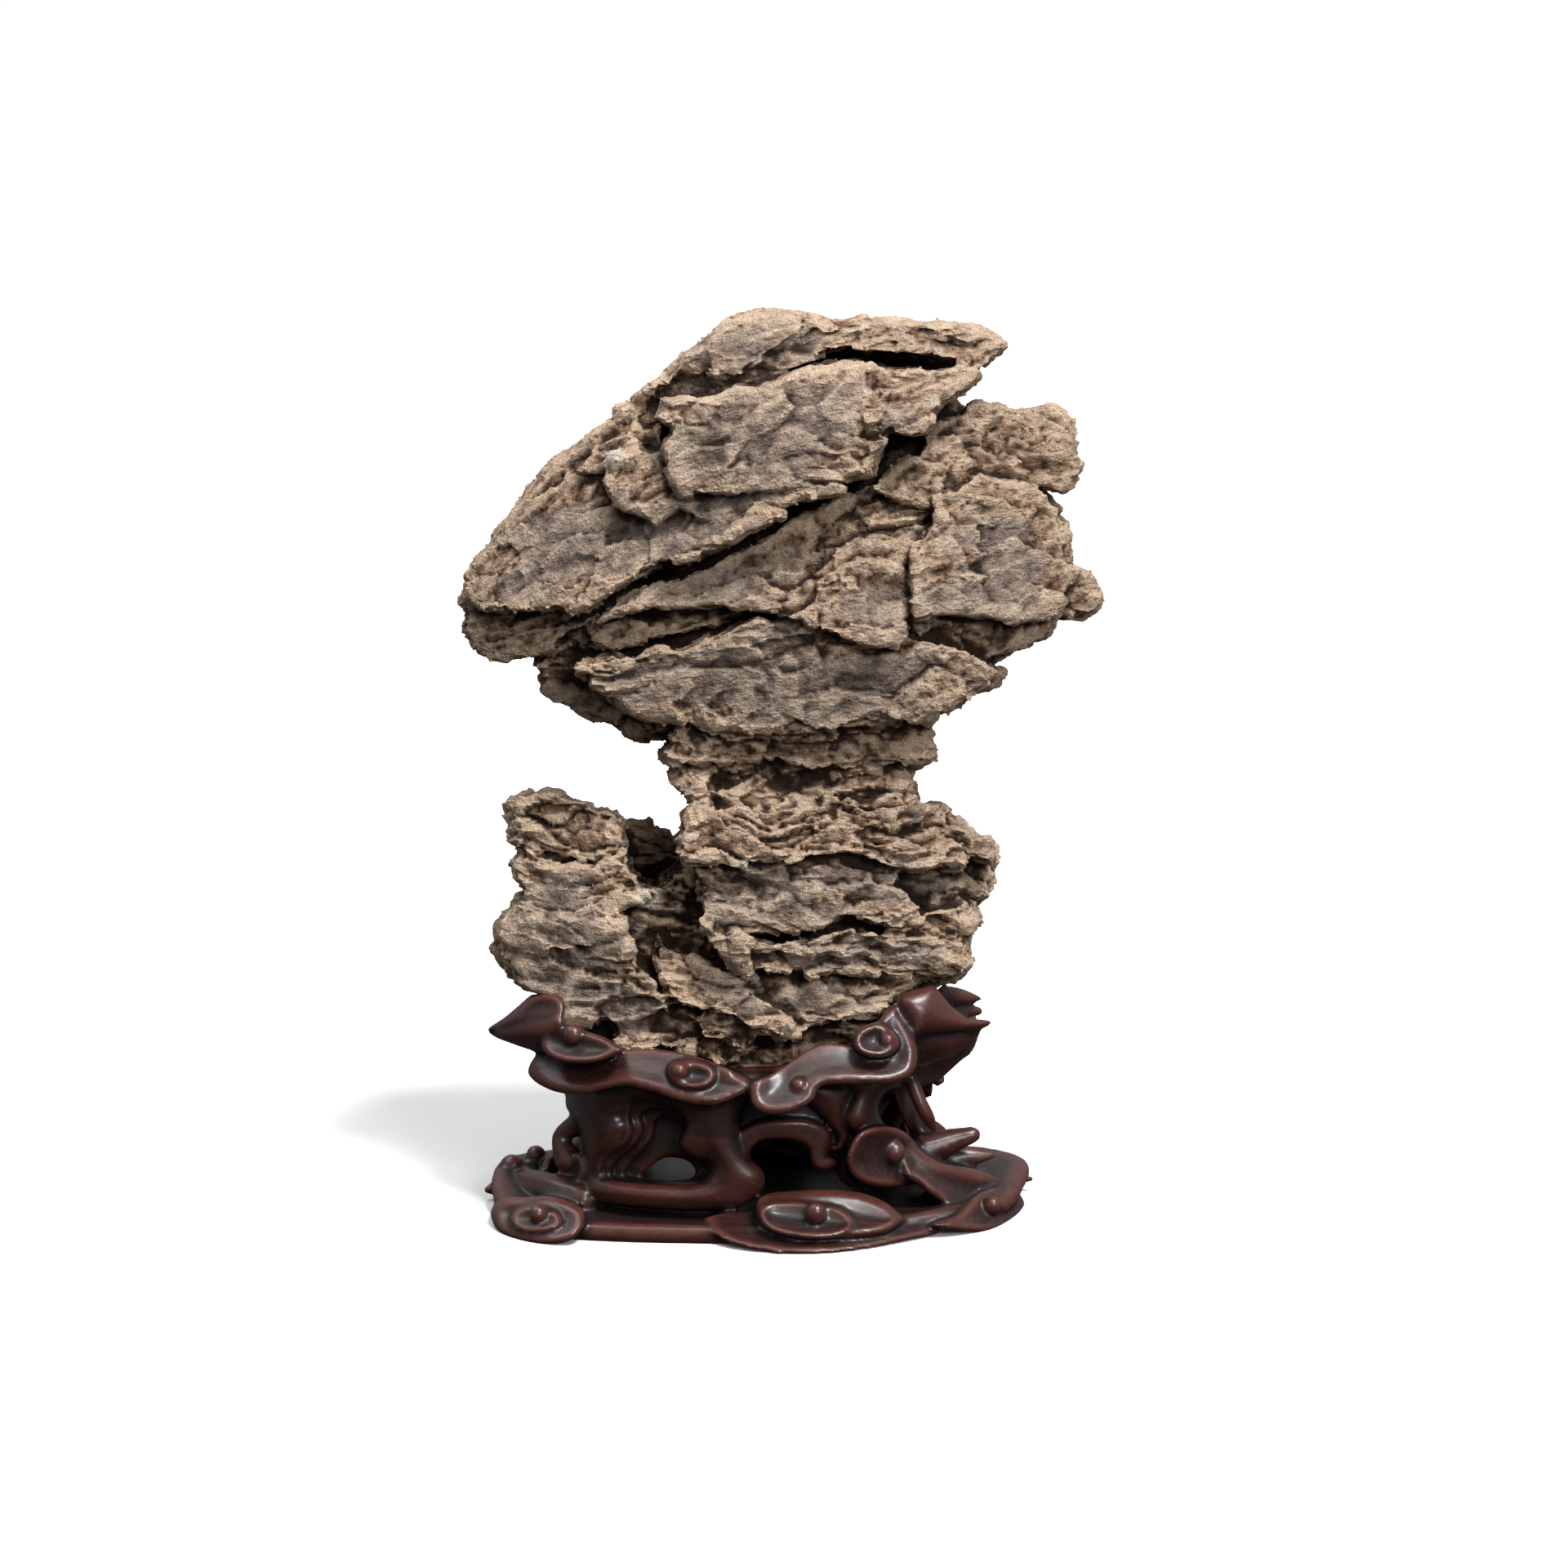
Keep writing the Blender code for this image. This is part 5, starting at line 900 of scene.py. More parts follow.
def pillar(bm):
    """The pillar on the left, and the dark lump low down behind the notch."""
    plate(bm, -38, 36, (-0.1, 0.2), [
        (-112, 186), (-108, 186.5), (-102, 186), (-97, 188), (-91, 188.5), (-87, 186), (-80, 185),
        (-76, 182), (-68, 180), (-65, 177), (-66, 175), (-65, 166), (-67, 160), (-78, 161), (-91, 161),
        (-95, 163), (-104, 167), (-110, 170), (-111.5, 176), (-111, 180), (-113, 183)])
    plate(bm, -50, 38, (-0.14, 0.3), [
        (-110, 169), (-106, 167), (-107, 163), (-112, 160), (-112, 158), (-107, 152), (-106, 148),
        (-108, 141), (-113, 137), (-115, 134), (-116, 130), (-112, 126), (-90, 122), (-70, 128),
        (-65, 132), (-68, 140), (-53, 147), (-58, 152), (-62, 157), (-66, 164), (-78, 158), (-92, 158)],
        rim=(2.5, 4))
    plate(bm, -54, 36, (-0.12, -0.05), [
        (-116, 131), (-114, 122), (-112, 118), (-109, 114), (-107, 110), (-104, 108), (-100, 107),
        (-93, 103), (-92, 96), (-70, 92), (-60, 94), (-50, 97), (-46, 99), (-49, 106), (-57, 116),
        (-60, 119), (-62, 125), (-66, 133), (-90, 138), (-108, 138)], rim=(2.5, 4))
    plate(bm, -36, 20, (0.0, 0.2), [
        (-70, 146), (-50, 147), (-42, 128), (-48, 112), (-60, 114), (-68, 130)])
    plate(bm, 2, 44, (0.1, 0.1), [
        (-72, 168), (-66, 175), (-62, 176.5), (-57, 177), (-52, 173), (-48, 172), (-46, 169), (-43, 166),
        (-38, 156), (-38, 140), (-60, 140), (-74, 150)], rim=(2, 3), heel=(8, 14))


def behind(bm):
    """The beds that show at the back, which dip as those at the front do."""
    for back, lean, outline in (
            (50, (0.1, 0.1), [
                (-42, 350), (-22, 372), (40, 376), (76, 373), (62, 352), (10, 342), (-34, 334)]),
            (64, (-0.1, -0.25), [
                (-90, 312), (-42, 345), (20, 356), (68, 350), (86, 336), (62, 322), (0, 317),
                (-52, 301), (-80, 295)]),
            (70, (-0.12, -0.2), [
                (-114, 284), (-82, 306), (-20, 319), (40, 330), (100, 331), (106, 308), (60, 298),
                (0, 291), (-60, 273), (-102, 265)]),
            (60, (0.12, 0.2), [
                (-86, 260), (-40, 277), (20, 290), (80, 296), (112, 284), (108, 268), (50, 257),
                (-10, 252), (-62, 247)]),
            (54, (-0.1, 0.3), [
                (-80, 238), (-40, 251), (20, 256), (80, 253), (78, 236), (40, 222), (-20, 219),
                (-62, 222)]),
            (47, (0.1, -0.1), [
                (-34, 181), (50, 180), (76, 162), (70, 142), (20, 136), (-30, 142)]),
            (54, (0.08, 0.25), [
                (-100, 148), (-72, 152), (-40, 138), (0, 130), (62, 131), (68, 116), (24, 104),
                (-40, 100), (-84, 106), (-106, 128)]),
            (42, (0.1, 0.2), [(-107, 182), (-74, 178), (-76, 156), (-102, 158)])):
        plate(bm, 0, back, lean, outline, rim=(14, 20), heel=(7, 9))


def clamped(value):
    """The value, kept within 0 and 1."""
    return min(1, max(0, value))


# The beds fall a little to the right in the lower body.  In the head they rise to the right, and
# more steeply towards its left end.  Slopes are per mm, and places are in mm.
LOWER_SLOPE = -0.07
HEAD_SLOPE = 0.10
HEAD_STEEPENING = 0.0028
NECK_TOP = 187.0
SLOPE_CHANGE = 60.0
RIGHT_SIDE = 60.0
SLOPE_TO_THE_BACK = 0.08


def bedding(point):
    """The point in the rock's own beds, in mm: along them, through them and up across them."""
    x, y, z = point.x / MM, point.y / MM, point.z / MM
    high = clamped((z - NECK_TOP) / SLOPE_CHANGE)
    left = max(0.0, RIGHT_SIDE - x)
    head_rise = HEAD_SLOPE * x - HEAD_STEEPENING * left * left / 2
    rise = LOWER_SLOPE * x + high * (head_rise - LOWER_SLOPE * x)
    return Vector((x, y, z - rise + SLOPE_TO_THE_BACK * y))


def moved_in_depth(point, depth):
    """The point slid along its line of sight to a new depth, in metres."""
    return EYE + (point - EYE) * (depth - EYE.y) / (point.y - EYE.y)


def towards_back(depth):
    """0 on the front half of the rock and 1 well behind its middle, for a depth in mm."""
    return clamped((depth + 10) / 50)


# Where the rock rounds off: at its two ends, at its top, and in swells at the back.  In mm.
MIDDLE_ACROSS = -5
HALF_WIDTH = 132
TOP_STARTS = 327
TOP_HEIGHT = 45
SWELL = 15
SWELL_SIZE = (62, 90, 30)


def shape_in_depth(point):
    """Rounds the rock in plan and at its top, and lets its back swell and sink.

    Points slide along the line of sight only, so the drawn outlines stay as they are.
    """
    bed = bedding(point)
    end = clamped(abs(point.x / MM - MIDDLE_ACROSS) / HALF_WIDTH)
    top = max(0, (point.z / MM - TOP_STARTS) / TOP_HEIGHT)
    swells = Vector([place / size for place, size in zip(bed, SWELL_SIZE)])
    swell = SWELL * towards_back(point.y / MM) * noise.noise(swells)
    depth = (point.y + swell * MM) * (1 - 0.5 * end ** 3) * (1 - 0.35 * top ** 2)
    return moved_in_depth(point, depth)


def drawn(point):
    """Where a point of the model is drawn on the sheet, as (across, up) in mm."""
    sight = Vector((0.0, math.cos(EYE_RAISE), -math.sin(EYE_RAISE)))
    ray = point - EYE
    on_sheet = EYE + ray * (EYE_DISTANCE / ray.dot(sight)) - SHEET_CENTRE
    return on_sheet.x / MM, on_sheet.dot(SHEET_UP) / MM + SHEET_CENTRE_DRAWN


# Clean grey faces on the front, as (across, up, half width, half height, rise in degrees).
GREY_FACES = (
    (-5, 335, 42, 22, 8), (-92, 288, 34, 13, 32), (-48, 296, 30, 11, 24), (-25, 272, 34, 8, 16),
    (-45, 235, 38, 13, 14), (8, 238, 46, 16, 4), (34, 264, 15, 9, -20), (84, 286, 26, 16, -4),
    (80, 266, 28, 7, -3), (-5, 372, 36, 8, 4), (20, 222, 36, 7, 2), (20, 150, 42, 10, 0),
    (5, 138, 36, 7, 0), (30, 122, 30, 6, 0), (-88, 128, 25, 23, -10), (-76, 104, 24, 11, -8),
    (-90, 150, 14, 8, 0), (24, 103, 24, 6, 0), (-22, 108, 14, 6, -30), (48, 335, 10, 10, 30))

# Painted shade on the undercut faces, brown like earth, drawn as the grey faces are.
UNDERCUT_SHADE_PATCHES = (
    (-8, 362, 38, 5.5, 10), (40, 371, 22, 3.0, -4), (-30, 328, 8, 16, 60), (44, 316, 26, 6, 38),
    (-58, 246, 60, 4, 30), (-68, 168, 8, 14, -20), (-42, 150, 9, 22, 25), (70, 141, 16, 5, 0),
    (20, 181, 34, 4, 0), (-55, 178, 12, 6, -30))

# Lumps of white calcite on the front, as (across, up, radius).
CALCITE = ((-69, 325, 3.5), (-56, 145, 5), (-14, 159, 2.5), (62, 347, 2), (-38, 170, 2))

# A surface that faces back by more than this takes nothing that is drawn on the front.
FACES_BACK = 0.15


def nearest_patch(point, patches):
    """How far the point is from the middle of the nearest oval patch, which ends at 1."""
    across, up = drawn(point)
    nearest = 9.0
    for middle, height, wide, high, rise in patches:
        turn = math.radians(rise)
        du, dv = across - middle, up - height
        along = (du * math.cos(turn) + dv * math.sin(turn)) / wide
        over = (dv * math.cos(turn) - du * math.sin(turn)) / high
        nearest = min(nearest, along * along + over * over)
    return nearest


def greyness(point, normal):
    """1 on the clean grey faces of the rock and 0 on its tan crust."""
    bed = bedding(point)
    patchy = noise.fractal(Vector((bed.x / 30, bed.y / 30, bed.z / 15)), 0.8, 2.2, 4)
    if normal.y > FACES_BACK:
        return clamped(0.5 + 1.5 * patchy)
    return clamped(1.35 - nearest_patch(point, GREY_FACES) + 1.3 * patchy)


def whiteness(point, normal):
    """1 on the lumps of calcite and 0 elsewhere."""
    if normal.y > FACES_BACK:
        return 0
    across, up = drawn(point)
    rough = 0.35 * noise.noise(point / (3 * MM))
    return clamped(
        max(1.6 + rough - math.hypot(across - u, up - v) / size for u, v, size in CALCITE))


def painted_undercut_shade(point, normal):
    """1 where painted shade, brown like earth, darkens the undercut faces and 0 elsewhere."""
    if normal.y > FACES_BACK:
        return 0
    patchy = noise.fractal(point / (9 * MM), 0.8, 2.2, 3)
    return clamped(0.9 * (1.4 - nearest_patch(point, UNDERCUT_SHADE_PATCHES)) + 0.7 * patchy)


# Noise is read in axes turned well away from the rock's own, so that its lattice never shows.
SLANT = Matrix.Rotation(0.9, 3, "X") @ Matrix.Rotation(0.6, 3, "Y") @ Matrix.Rotation(0.8, 3, "Z")


def slanted(place, wide, high):
    """The place in the noise's own axes, for lumps this wide along the beds and this high."""
    return SLANT @ Vector((place.x / wide, place.y / wide, place.z / high))


def drift(place):
    """A smooth shift that wanders from place to place, about -1 to 1 each way."""
    apart = Vector((7.3, 19.1, 31.7))
    return Vector([noise.noise(place + apart * turn) for turn in (1, 2, 3)])


def facet(place, cell):
    """The height of a broken face in a heap of cells: flat in each cell, tilted, and -1 to 1 high.

    cell is the width and the height of a cell.  Also returns how near the place is to a joint
    between two cells: 1 on it, 0 away from it.
    """
    spot = Vector((place.x / cell[0], place.y / cell[0], place.z / cell[1]))
    distances, centres = noise.voronoi(spot)
    centre = centres[0]
    tilt = noise.cell_vector(centre * 9.1)
    flat = noise.cell(centre * 5.3)
    height = flat + 1.3 * tilt.dot(spot - centre)
    return height, max(0, 1 - (distances[1] - distances[0]) / 0.14)


def layered(bent, level, wide, seed):
    """How far the bed at this level stands out, and how near the place is to its two edges."""
    layer = math.floor(level)
    along = slanted(Vector((bent.x, bent.y, 0)), wide, 1)
    return noise.noise(along + Vector((0, 0, layer * seed))), 2 * (level - layer) - 1


# The sizes of the wear, in mm: broken faces across and high, the thickness of beds and of the
# laminae in them, and the spacing of pits and of nodules.  From the neck down the beds are
# thinner and more worn.
BROAD_FACE = (42, 22)
SMALL_FACE = (19, 9)
BED = 7.0
LEAF = 2.8
PITS = 3.9
NODULES = 3.7
LOWER_PART = 215
LOWER_CHANGE = 40


def wear(bm):
    """Wears the whole surface, coarse to fine, and returns what is to be painted on it.

    The stone breaks into flat, tilted faces along its beds.  Its bed edges weather into ledges
    and thin laminae, and the tan crust is full of pits and nodules.
    """
    bm.normal_update()
    moves = []
    paints = {"grey": [], "white": [], "painted_undercut_shade": []}
    for vert in bm.verts:
        bed = bedding(vert.co)
        spot = vert.co / MM
        grey = greyness(vert.co, vert.normal)
        crust = 1 - grey
        low = clamped((LOWER_PART - spot.z) / LOWER_CHANGE)
        rear = towards_back(spot.y)
        steep = 1 - vert.normal.z ** 2
        bent = bed + drift(slanted(bed, 27, 27)) * 8 + drift(slanted(bed, 8, 8)) * 2

        # Broken faces, broad and small, and the joints between them.
        broad_face, broad_joint = facet(bent, (BROAD_FACE[0], BROAD_FACE[1] - 8 * low))
        small_face, small_joint = facet(
            bent + Vector((50, 0, 0)), (SMALL_FACE[0], SMALL_FACE[1] - 3 * low))
        move = (0.8 + 0.6 * low) * broad_face + (0.7 + 0.4 * crust) * small_face
        move -= (0.1 + 0.7 * low) * broad_joint + (0.1 + 0.3 * crust) * small_joint

        # Lumps, long scoops and short chips.
        move += (0.8 + 1.6 * low) * noise.fractal(slanted(bent, 23, 23), 0.8, 2.2, 3)
        scoop = noise.ridged_multi_fractal(slanted(bent, 27, 11), 0.8, 2.2, 3, 1.0, 2.0)
        move += 0.9 * (scoop - 1.1)
        chip = noise.ridged_multi_fractal(slanted(bent, 10, 4.5), 0.9, 2.1, 2, 1.0, 2.0)
        move += (0.35 + 0.15 * crust) * (chip - 1.1)

        # Beds that stand out as ledges, and laminae, with cracks between them low down.
        bed_level = bent.z / BED + 1.1 * noise.noise(slanted(bed, 34, 34))
        ledge, bed_edge = layered(bent, bed_level, 31, 3.7)
        ledge -= 0.35 * low * bed_edge ** 8
        move += (0.4 + 1.3 * low + 1.6 * rear + 1.0 * crust) * ledge * steep
        leaf_level = bent.z / LEAF + 1.6 * noise.noise(slanted(bed, 15, 15))
        lamina, leaf_edge = layered(bent, leaf_level, 13, 5.3)
        lamina -= 0.4 * low * leaf_edge ** 4
        move += (0.30 + 0.5 * crust + 0.4 * low) * lamina * steep

        # A rough skin, pits in most places, nodules on the crust, and the lumps of calcite.
        move += (0.35 + 0.35 * crust) * noise.fractal(slanted(spot, 4.1, 4.1), 0.6, 2.1, 3)
        distances, centres = noise.voronoi(spot / PITS)
        if noise.cell(centres[0] * 7.7) > -0.1:
            move -= (0.6 + 3.0 * crust) * max(0, 0.42 - distances[0])
        distances, centres = noise.voronoi(spot / NODULES + Vector((9, 9, 9)))
        move += 0.8 * crust * max(0, 0.45 - distances[0])
        white = whiteness(vert.co, vert.normal)
        move += 1.4 * white

        moves.append(MM * move * vert.normal)
        paints["grey"].append(grey)
        paints["white"].append(white)
        # Painted shade under the plates, brown like earth, is kept for the hollow colour.
        paints["painted_undercut_shade"].append(0.75 * painted_undercut_shade(vert.co, vert.normal))
    for vert, move in zip(bm.verts, moves):
        vert.co = shape_in_depth(vert.co + move)
    return paints


# Weathered limestone: broken along its beds and never worked.  Dry and dull all over, sandy to
# the eye, with grey clean faces, tan crust with edges painted paler, partly as painted highlight,
# brown earth and painted shade in the cracks, painted shade under the plates, and a few white
# lumps of calcite.  The real grain is about a quarter of a millimetre: it is drawn as coarse as
# it needs to show.
LAMINA = 1.6 * MM
GRAIN = 0.6 * MM
CHIP = 5.5 * MM
LUMP = 2.6 * MM
WANDER = 7 * MM
BLOTCH = 11 * MM
limestone = bpy.data.materials.new("weathered layered limestone")
limestone.use_nodes = True
tree = limestone.node_tree
shader = tree.nodes["Principled BSDF"]
place = add_node(tree, "ShaderNodeTexCoord").outputs["Object"]
bed = add_node(tree, "ShaderNodeAttribute", attribute_name="bed").outputs["Vector"]
grey = add_node(tree, "ShaderNodeAttribute", attribute_name="grey").outputs["Fac"]
hollow = add_node(tree, "ShaderNodeAttribute", attribute_name="hollow").outputs["Fac"]
edge = add_node(tree, "ShaderNodeAttribute", attribute_name="edge").outputs["Fac"]
blotch = add_node(tree, "ShaderNodeTexNoise", {
    "Vector": place, "Scale": 1 / BLOTCH, "Detail": 7.0, "Roughness": 0.68,
    "Distortion": 0.4}).outputs["Fac"]
laminae = add_node(tree, "ShaderNodeTexNoise", {
    "Vector": add_node(tree, "ShaderNodeMapping", {
        "Vector": bed, "Scale": (0.2 / LAMINA, 0.2 / LAMINA, 0.65 / LAMINA)}).outputs[0],
    "Scale": 1.0, "Detail": 2.0, "Roughness": 0.55, "Distortion": 1.1}).outputs["Fac"]
grain = add_node(tree, "ShaderNodeTexNoise", {
    "Vector": place, "Scale": 1 / GRAIN, "Detail": 3.0, "Roughness": 0.75}).outputs["Fac"]
lumps = add_node(tree, "ShaderNodeTexNoise", {
    "Vector": place, "Scale": 1 / LUMP, "Detail": 4.0, "Roughness": 0.62}).outputs["Fac"]
grey_stone = ramp(tree, blotch, (0.36, "#6b5c53"), (0.50, "#968377"), (0.64, "#b9a594"))
tan_stone = ramp(tree, blotch, (0.36, "#684d3b"), (0.50, "#9e7f66"), (0.64, "#d0b092"))
blotched_grey = add_node(tree, "ShaderNodeMath", {
    0: blotch, 1: 1.2, 2: grey}, operation="MULTIPLY_ADD").outputs[0]
grey_by = add_node(tree, "ShaderNodeMapRange", {
    "Value": blotched_grey, "From Min": 0.62, "From Max": 1.12}).outputs[0]
stone_colour = add_node(tree, "ShaderNodeMix", {
    0: grey_by, 6: tan_stone, 7: grey_stone}, data_type="RGBA").outputs[2]
# Painted highlight, partly paler weathered rims: ridges of the crust are mixed towards pale tan.
edged_by = add_node(tree, "ShaderNodeMath", {0: edge, 1: 0.7}, operation="MULTIPLY").outputs[0]
edged = add_node(tree, "ShaderNodeMix", {
    0: edged_by, 6: stone_colour, 7: srgb("#d8bfa6")}, data_type="RGBA").outputs[2]
white = add_node(tree, "ShaderNodeAttribute", attribute_name="white").outputs["Fac"]
whitened = add_node(tree, "ShaderNodeMix", {
    0: white, 6: edged, 7: srgb("#d8cab6")}, data_type="RGBA").outputs[2]
# Painted shade, partly brown earth: cracks and undercuts are mixed towards dark brown.
earth_and_painted_shade = add_node(tree, "ShaderNodeMix", {
    0: hollow, 6: whitened, 7: srgb("#35261c")}, data_type="RGBA").outputs[2]
streak = add_node(tree, "ShaderNodeMapRange", {
    "Value": laminae, "From Min": 0.32, "From Max": 0.60, "To Min": 0.80, "To Max": 1.06}).outputs[0]
streaked = add_node(tree, "ShaderNodeMix", {
    0: 1.0, 6: earth_and_painted_shade, 7: streak}, data_type="RGBA", blend_type="MULTIPLY").outputs[2]
speckle = add_node(tree, "ShaderNodeMapRange", {
    "Value": grain, "From Min": 0.36, "From Max": 0.64, "To Min": 0.60, "To Max": 1.40}).outputs[0]
speckled = add_node(tree, "ShaderNodeMix", {
    0: 1.0, 6: streaked, 7: speckle}, data_type="RGBA", blend_type="MULTIPLY").outputs[2]
tree.links.new(speckled, shader.inputs["Base Color"])
shader.inputs["Roughness"].default_value = 0.92
shader.inputs["Specular IOR Level"].default_value = 0.3
# The bump: small flat chips, each with its own tilt, then laminae, lumps and grain.
wander = add_node(tree, "ShaderNodeTexNoise", {
    "Vector": bed, "Scale": 1 / WANDER, "Detail": 2.0}).outputs["Color"]
chip_bed = add_node(tree, "ShaderNodeMapping", {
    "Vector": bed, "Scale": (1 / CHIP, 1 / CHIP, 2 / CHIP)}).outputs[0]
chip_place = add_node(tree, "ShaderNodeVectorMath", {
    0: chip_bed, 1: wander}, operation="ADD").outputs[0]
cells = add_node(tree, "ShaderNodeTexVoronoi", {"Vector": chip_place, "Scale": 1.0})
from_centre = add_node(tree, "ShaderNodeVectorMath", {
    0: chip_place, 1: cells.outputs["Position"]}, operation="SUBTRACT").outputs[0]
tilt = add_node(tree, "ShaderNodeVectorMath", {
    0: cells.outputs["Color"], 1: (0.5, 0.5, 0.5)}, operation="SUBTRACT").outputs[0]
chips = add_node(tree, "ShaderNodeVectorMath", {
    0: from_centre, 1: tilt}, operation="DOT_PRODUCT").outputs["Value"]
height = laminae
for pattern, strength in ((chips, 1.6), (lumps, 1.9), (grain, 0.45)):
    height = add_node(tree, "ShaderNodeMath", {
        0: pattern, 1: strength, 2: height}, operation="MULTIPLY_ADD").outputs[0]
bump = add_node(tree, "ShaderNodeBump", {
    "Height": height, "Strength": 1.0, "Distance": 1.5 * MM}).outputs[0]
tree.links.new(bump, shader.inputs["Normal"])

# The plates are grown into one rock and worn, and what the wear has marked, with the painted
# shade under the plates, is painted on it.
heap = bmesh.new()
head(heap)
neck(heap)
body(heap)
pillar(heap)
behind(heap)
stone = grow(heap, "weathered_stone", STONE_VOXEL)
bm = bmesh.new()
bm.from_mesh(stone.data)
keep_largest(bm)
paints = wear(bm)
bm.to_mesh(stone.data)
bm.free()
for name, values in paints.items():
    paint(stone.data, name, np.array(values))
thin(stone, STONE_TRIANGLES)
beds = stone.data.attributes.new("bed", "FLOAT_VECTOR", "POINT")
beds.data.foreach_set("vector", [c * MM for vert in stone.data.vertices for c in bedding(vert.co)])
stone.data.shade_smooth()
stone.data.set_sharp_from_angle(angle=BREAK_ANGLE)
fine = relief(stone.data, passes=5)
broad = relief(stone.data, passes=50)
greys, undercut_shade_values = np.empty((2, len(stone.data.vertices)))
for name, values in (("grey", greys), ("painted_undercut_shade", undercut_shade_values)):
    stone.data.attributes[name].data.foreach_get("value", values)
# edge marks the ridges that are painted paler, partly as highlight.
paint(stone.data, "edge", (fine * 1.8 + broad * 0.25) * (1 - 0.65 * greys))
# hollow darkens the cracks as painted shade with brown earth, and adds the painted shade under the
# plates.
paint(stone.data, "hollow", (-fine * 1.0 - broad * 0.28) * (1 - 0.45 * greys) + undercut_shade_values)
stone.data.materials.clear()
stone.data.materials.append(limestone)
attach(stone, "root")
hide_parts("stone")


# ---------------------------------------------------------------------------------------------
# The grains of the crust.  Crumbs and small pebbles of lime, one to two and a half millimetres
# across, that weathering has left standing on the tan bed edges, cemented to the stone.
# ---------------------------------------------------------------------------------------------

GRAINS_PER_SQUARE_METRE = 20000
SMALLEST_GRAIN = 0.5 * MM
LARGEST_GRAIN = 1.2 * MM
GRAIN_SEED = 7
FULL_TURN = 6.28

# Crumbs are strewn over the crust at random, each with its own size and turn.
group = bpy.data.node_groups.new("crust grains", "GeometryNodeTree")
inputs = {}
for name, kind in (("Stone", "Geometry"), ("Density", "Float"), ("Smallest", "Float"),
                   ("Largest", "Float"), ("Seed", "Int"), ("Material", "Material")):
    inputs[name] = group.interface.new_socket(name, in_out="INPUT", socket_type="NodeSocket" + kind)
group.interface.new_socket("Grains", in_out="OUTPUT", socket_type="NodeSocketGeometry")
given = add_node(group, "NodeGroupInput").outputs
grey = add_node(group, "GeometryNodeInputNamedAttribute", {
    "Name": "grey"}, data_type="FLOAT").outputs[0]
crust = add_node(group, "ShaderNodeMath", {
    0: 0.8, 1: grey}, operation="SUBTRACT", use_clamp=True).outputs[0]
density = add_node(group, "ShaderNodeMath", {
    0: crust, 1: given["Density"]}, operation="MULTIPLY").outputs[0]
spread = add_node(group, "GeometryNodeDistributePointsOnFaces", {
    "Mesh": given["Stone"], "Density": density, "Seed": given["Seed"]}, distribute_method="RANDOM")
crumb = add_node(group, "GeometryNodeMeshIcoSphere", {"Radius": 1.0, "Subdivisions": 1}).outputs["Mesh"]
size = add_node(group, "FunctionNodeRandomValue", {
    0: add_node(group, "ShaderNodeCombineXYZ", {i: given["Smallest"] for i in range(3)}).outputs[0],
    1: add_node(group, "ShaderNodeCombineXYZ", {i: given["Largest"] for i in range(3)}).outputs[0],
    "Seed": given["Seed"]}, data_type="FLOAT_VECTOR").outputs[0]
turn = add_node(group, "FunctionNodeRandomValue", {
    0: (0, 0, 0), 1: (FULL_TURN,) * 3, "Seed": given["Seed"]}, data_type="FLOAT_VECTOR").outputs[0]
placed = add_node(group, "GeometryNodeInstanceOnPoints", {
    "Points": spread.outputs["Points"], "Instance": crumb, "Rotation": turn, "Scale": size}).outputs[0]
whole = add_node(group, "GeometryNodeRealizeInstances", {"Geometry": placed}).outputs[0]
finished = add_node(group, "GeometryNodeSetMaterial", {
    "Geometry": whole, "Material": given["Material"]}).outputs[0]
add_node(group, "NodeGroupOutput", {0: finished})

grains = bpy.data.objects.new("crust_grains", stone.data.copy())
bpy.context.collection.objects.link(grains)
strew = grains.modifiers.new("Grains", "NODES")
strew.node_group = group
for name, value in (("Density", float(GRAINS_PER_SQUARE_METRE)), ("Smallest", SMALLEST_GRAIN),
                    ("Largest", LARGEST_GRAIN), ("Seed", GRAIN_SEED), ("Material", limestone)):
    strew[inputs[name].identifier] = value
grains.data = evaluated(grains)
grains.modifiers.clear()
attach(grains, "root")


# ---------------------------------------------------------------------------------------------
# The setting: a plain white floor, soft studio light and the camera.  None of it is part of the
# object.
# ---------------------------------------------------------------------------------------------

FLOOR_REACH = 30.0
bm = bmesh.new()
bmesh.ops.create_grid(bm, x_segments=1, y_segments=1, size=FLOOR_REACH)
floor = as_object(bm, "floor")
paper = bpy.data.materials.new("matt white paper")
paper.use_nodes = True
shader = paper.node_tree.nodes["Principled BSDF"]
shader.inputs["Base Color"].default_value = (0.9, 0.9, 0.9, 1)
shader.inputs["Roughness"].default_value = 1.0
shader.inputs["Specular IOR Level"].default_value = 0.0
floor.data.materials.append(paper)
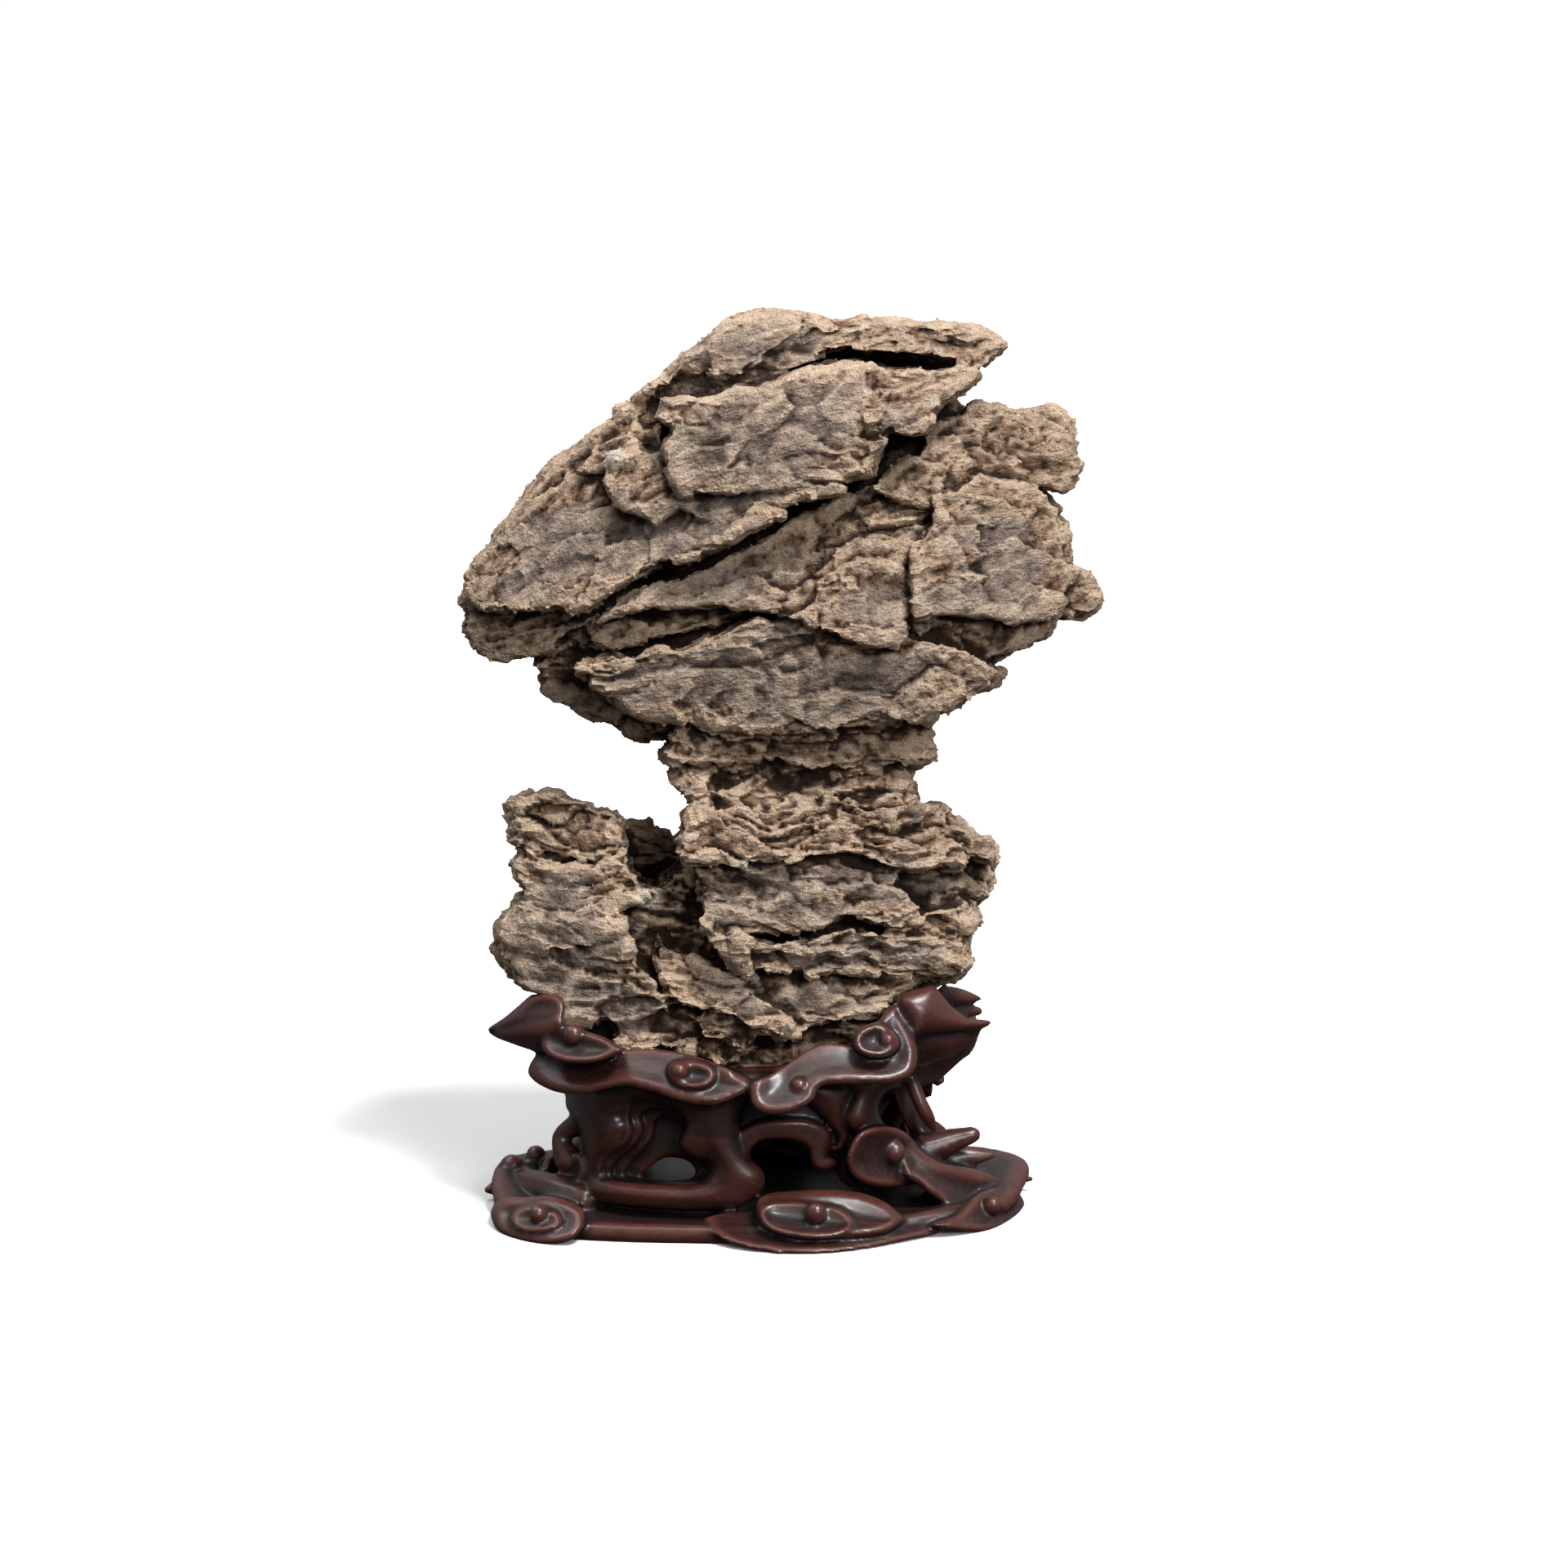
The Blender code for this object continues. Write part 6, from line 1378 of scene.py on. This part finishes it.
# The floor takes the shadow, and throws no light back on the object.
floor.visible_diffuse = False
floor.visible_glossy = False


def sun(name, towards, strength, softness):
    """A distant lamp that shines from the given direction, this many degrees wide."""
    lamp = bpy.data.lights.new(name, "SUN")
    lamp.energy = strength
    lamp.angle = math.radians(softness)
    obj = bpy.data.objects.new(name, lamp)
    bpy.context.collection.objects.link(obj)
    obj.rotation_euler = (-Vector(towards)).to_track_quat("-Z", "Y").to_euler()


sun("key softbox", (0.35, -0.45, 0.95), 3.4, 14)
sun("top softbox", (-0.30, 0.10, 1.0), 1.5, 50)
sun("low front light", (0.38, -0.83, 0.42), 1.2, 16)

world = bpy.data.worlds.new("studio")
bpy.context.scene.world = world
world.use_nodes = True
tree = world.node_tree
tree.nodes.clear()
# The room glows from above; whoever looks past the object sees a white backdrop.
direction = add_node(tree, "ShaderNodeTexCoord").outputs["Generated"]
height = add_node(tree, "ShaderNodeSeparateXYZ", {0: direction}).outputs["Z"]
glow = add_node(tree, "ShaderNodeMapRange", {
    "Value": height, "From Min": -0.4, "From Max": 0.7, "To Min": 0.05, "To Max": 0.55}).outputs[0]
room = add_node(tree, "ShaderNodeBackground", {"Strength": glow}).outputs[0]
backdrop = add_node(tree, "ShaderNodeBackground", {"Color": (1, 1, 1, 1)}).outputs[0]
seen = add_node(tree, "ShaderNodeLightPath").outputs["Is Camera Ray"]
mixed = add_node(tree, "ShaderNodeMixShader", {0: seen, 1: room, 2: backdrop}).outputs[0]
add_node(tree, "ShaderNodeOutputWorld", {"Surface": mixed})

FRAME_WIDTH = 640 * MM
SENSOR_WIDTH = 36.0
lens = bpy.data.cameras.new("camera")
lens.sensor_width = SENSOR_WIDTH
lens.lens = SENSOR_WIDTH * EYE_DISTANCE / FRAME_WIDTH
camera = bpy.data.objects.new("camera", lens)
bpy.context.collection.objects.link(camera)
camera.location = EYE
camera.rotation_euler = (SHEET_CENTRE - EYE).to_track_quat("-Z", "Y").to_euler()
bpy.context.scene.camera = camera
bpy.context.scene.view_settings.view_transform = "Standard"
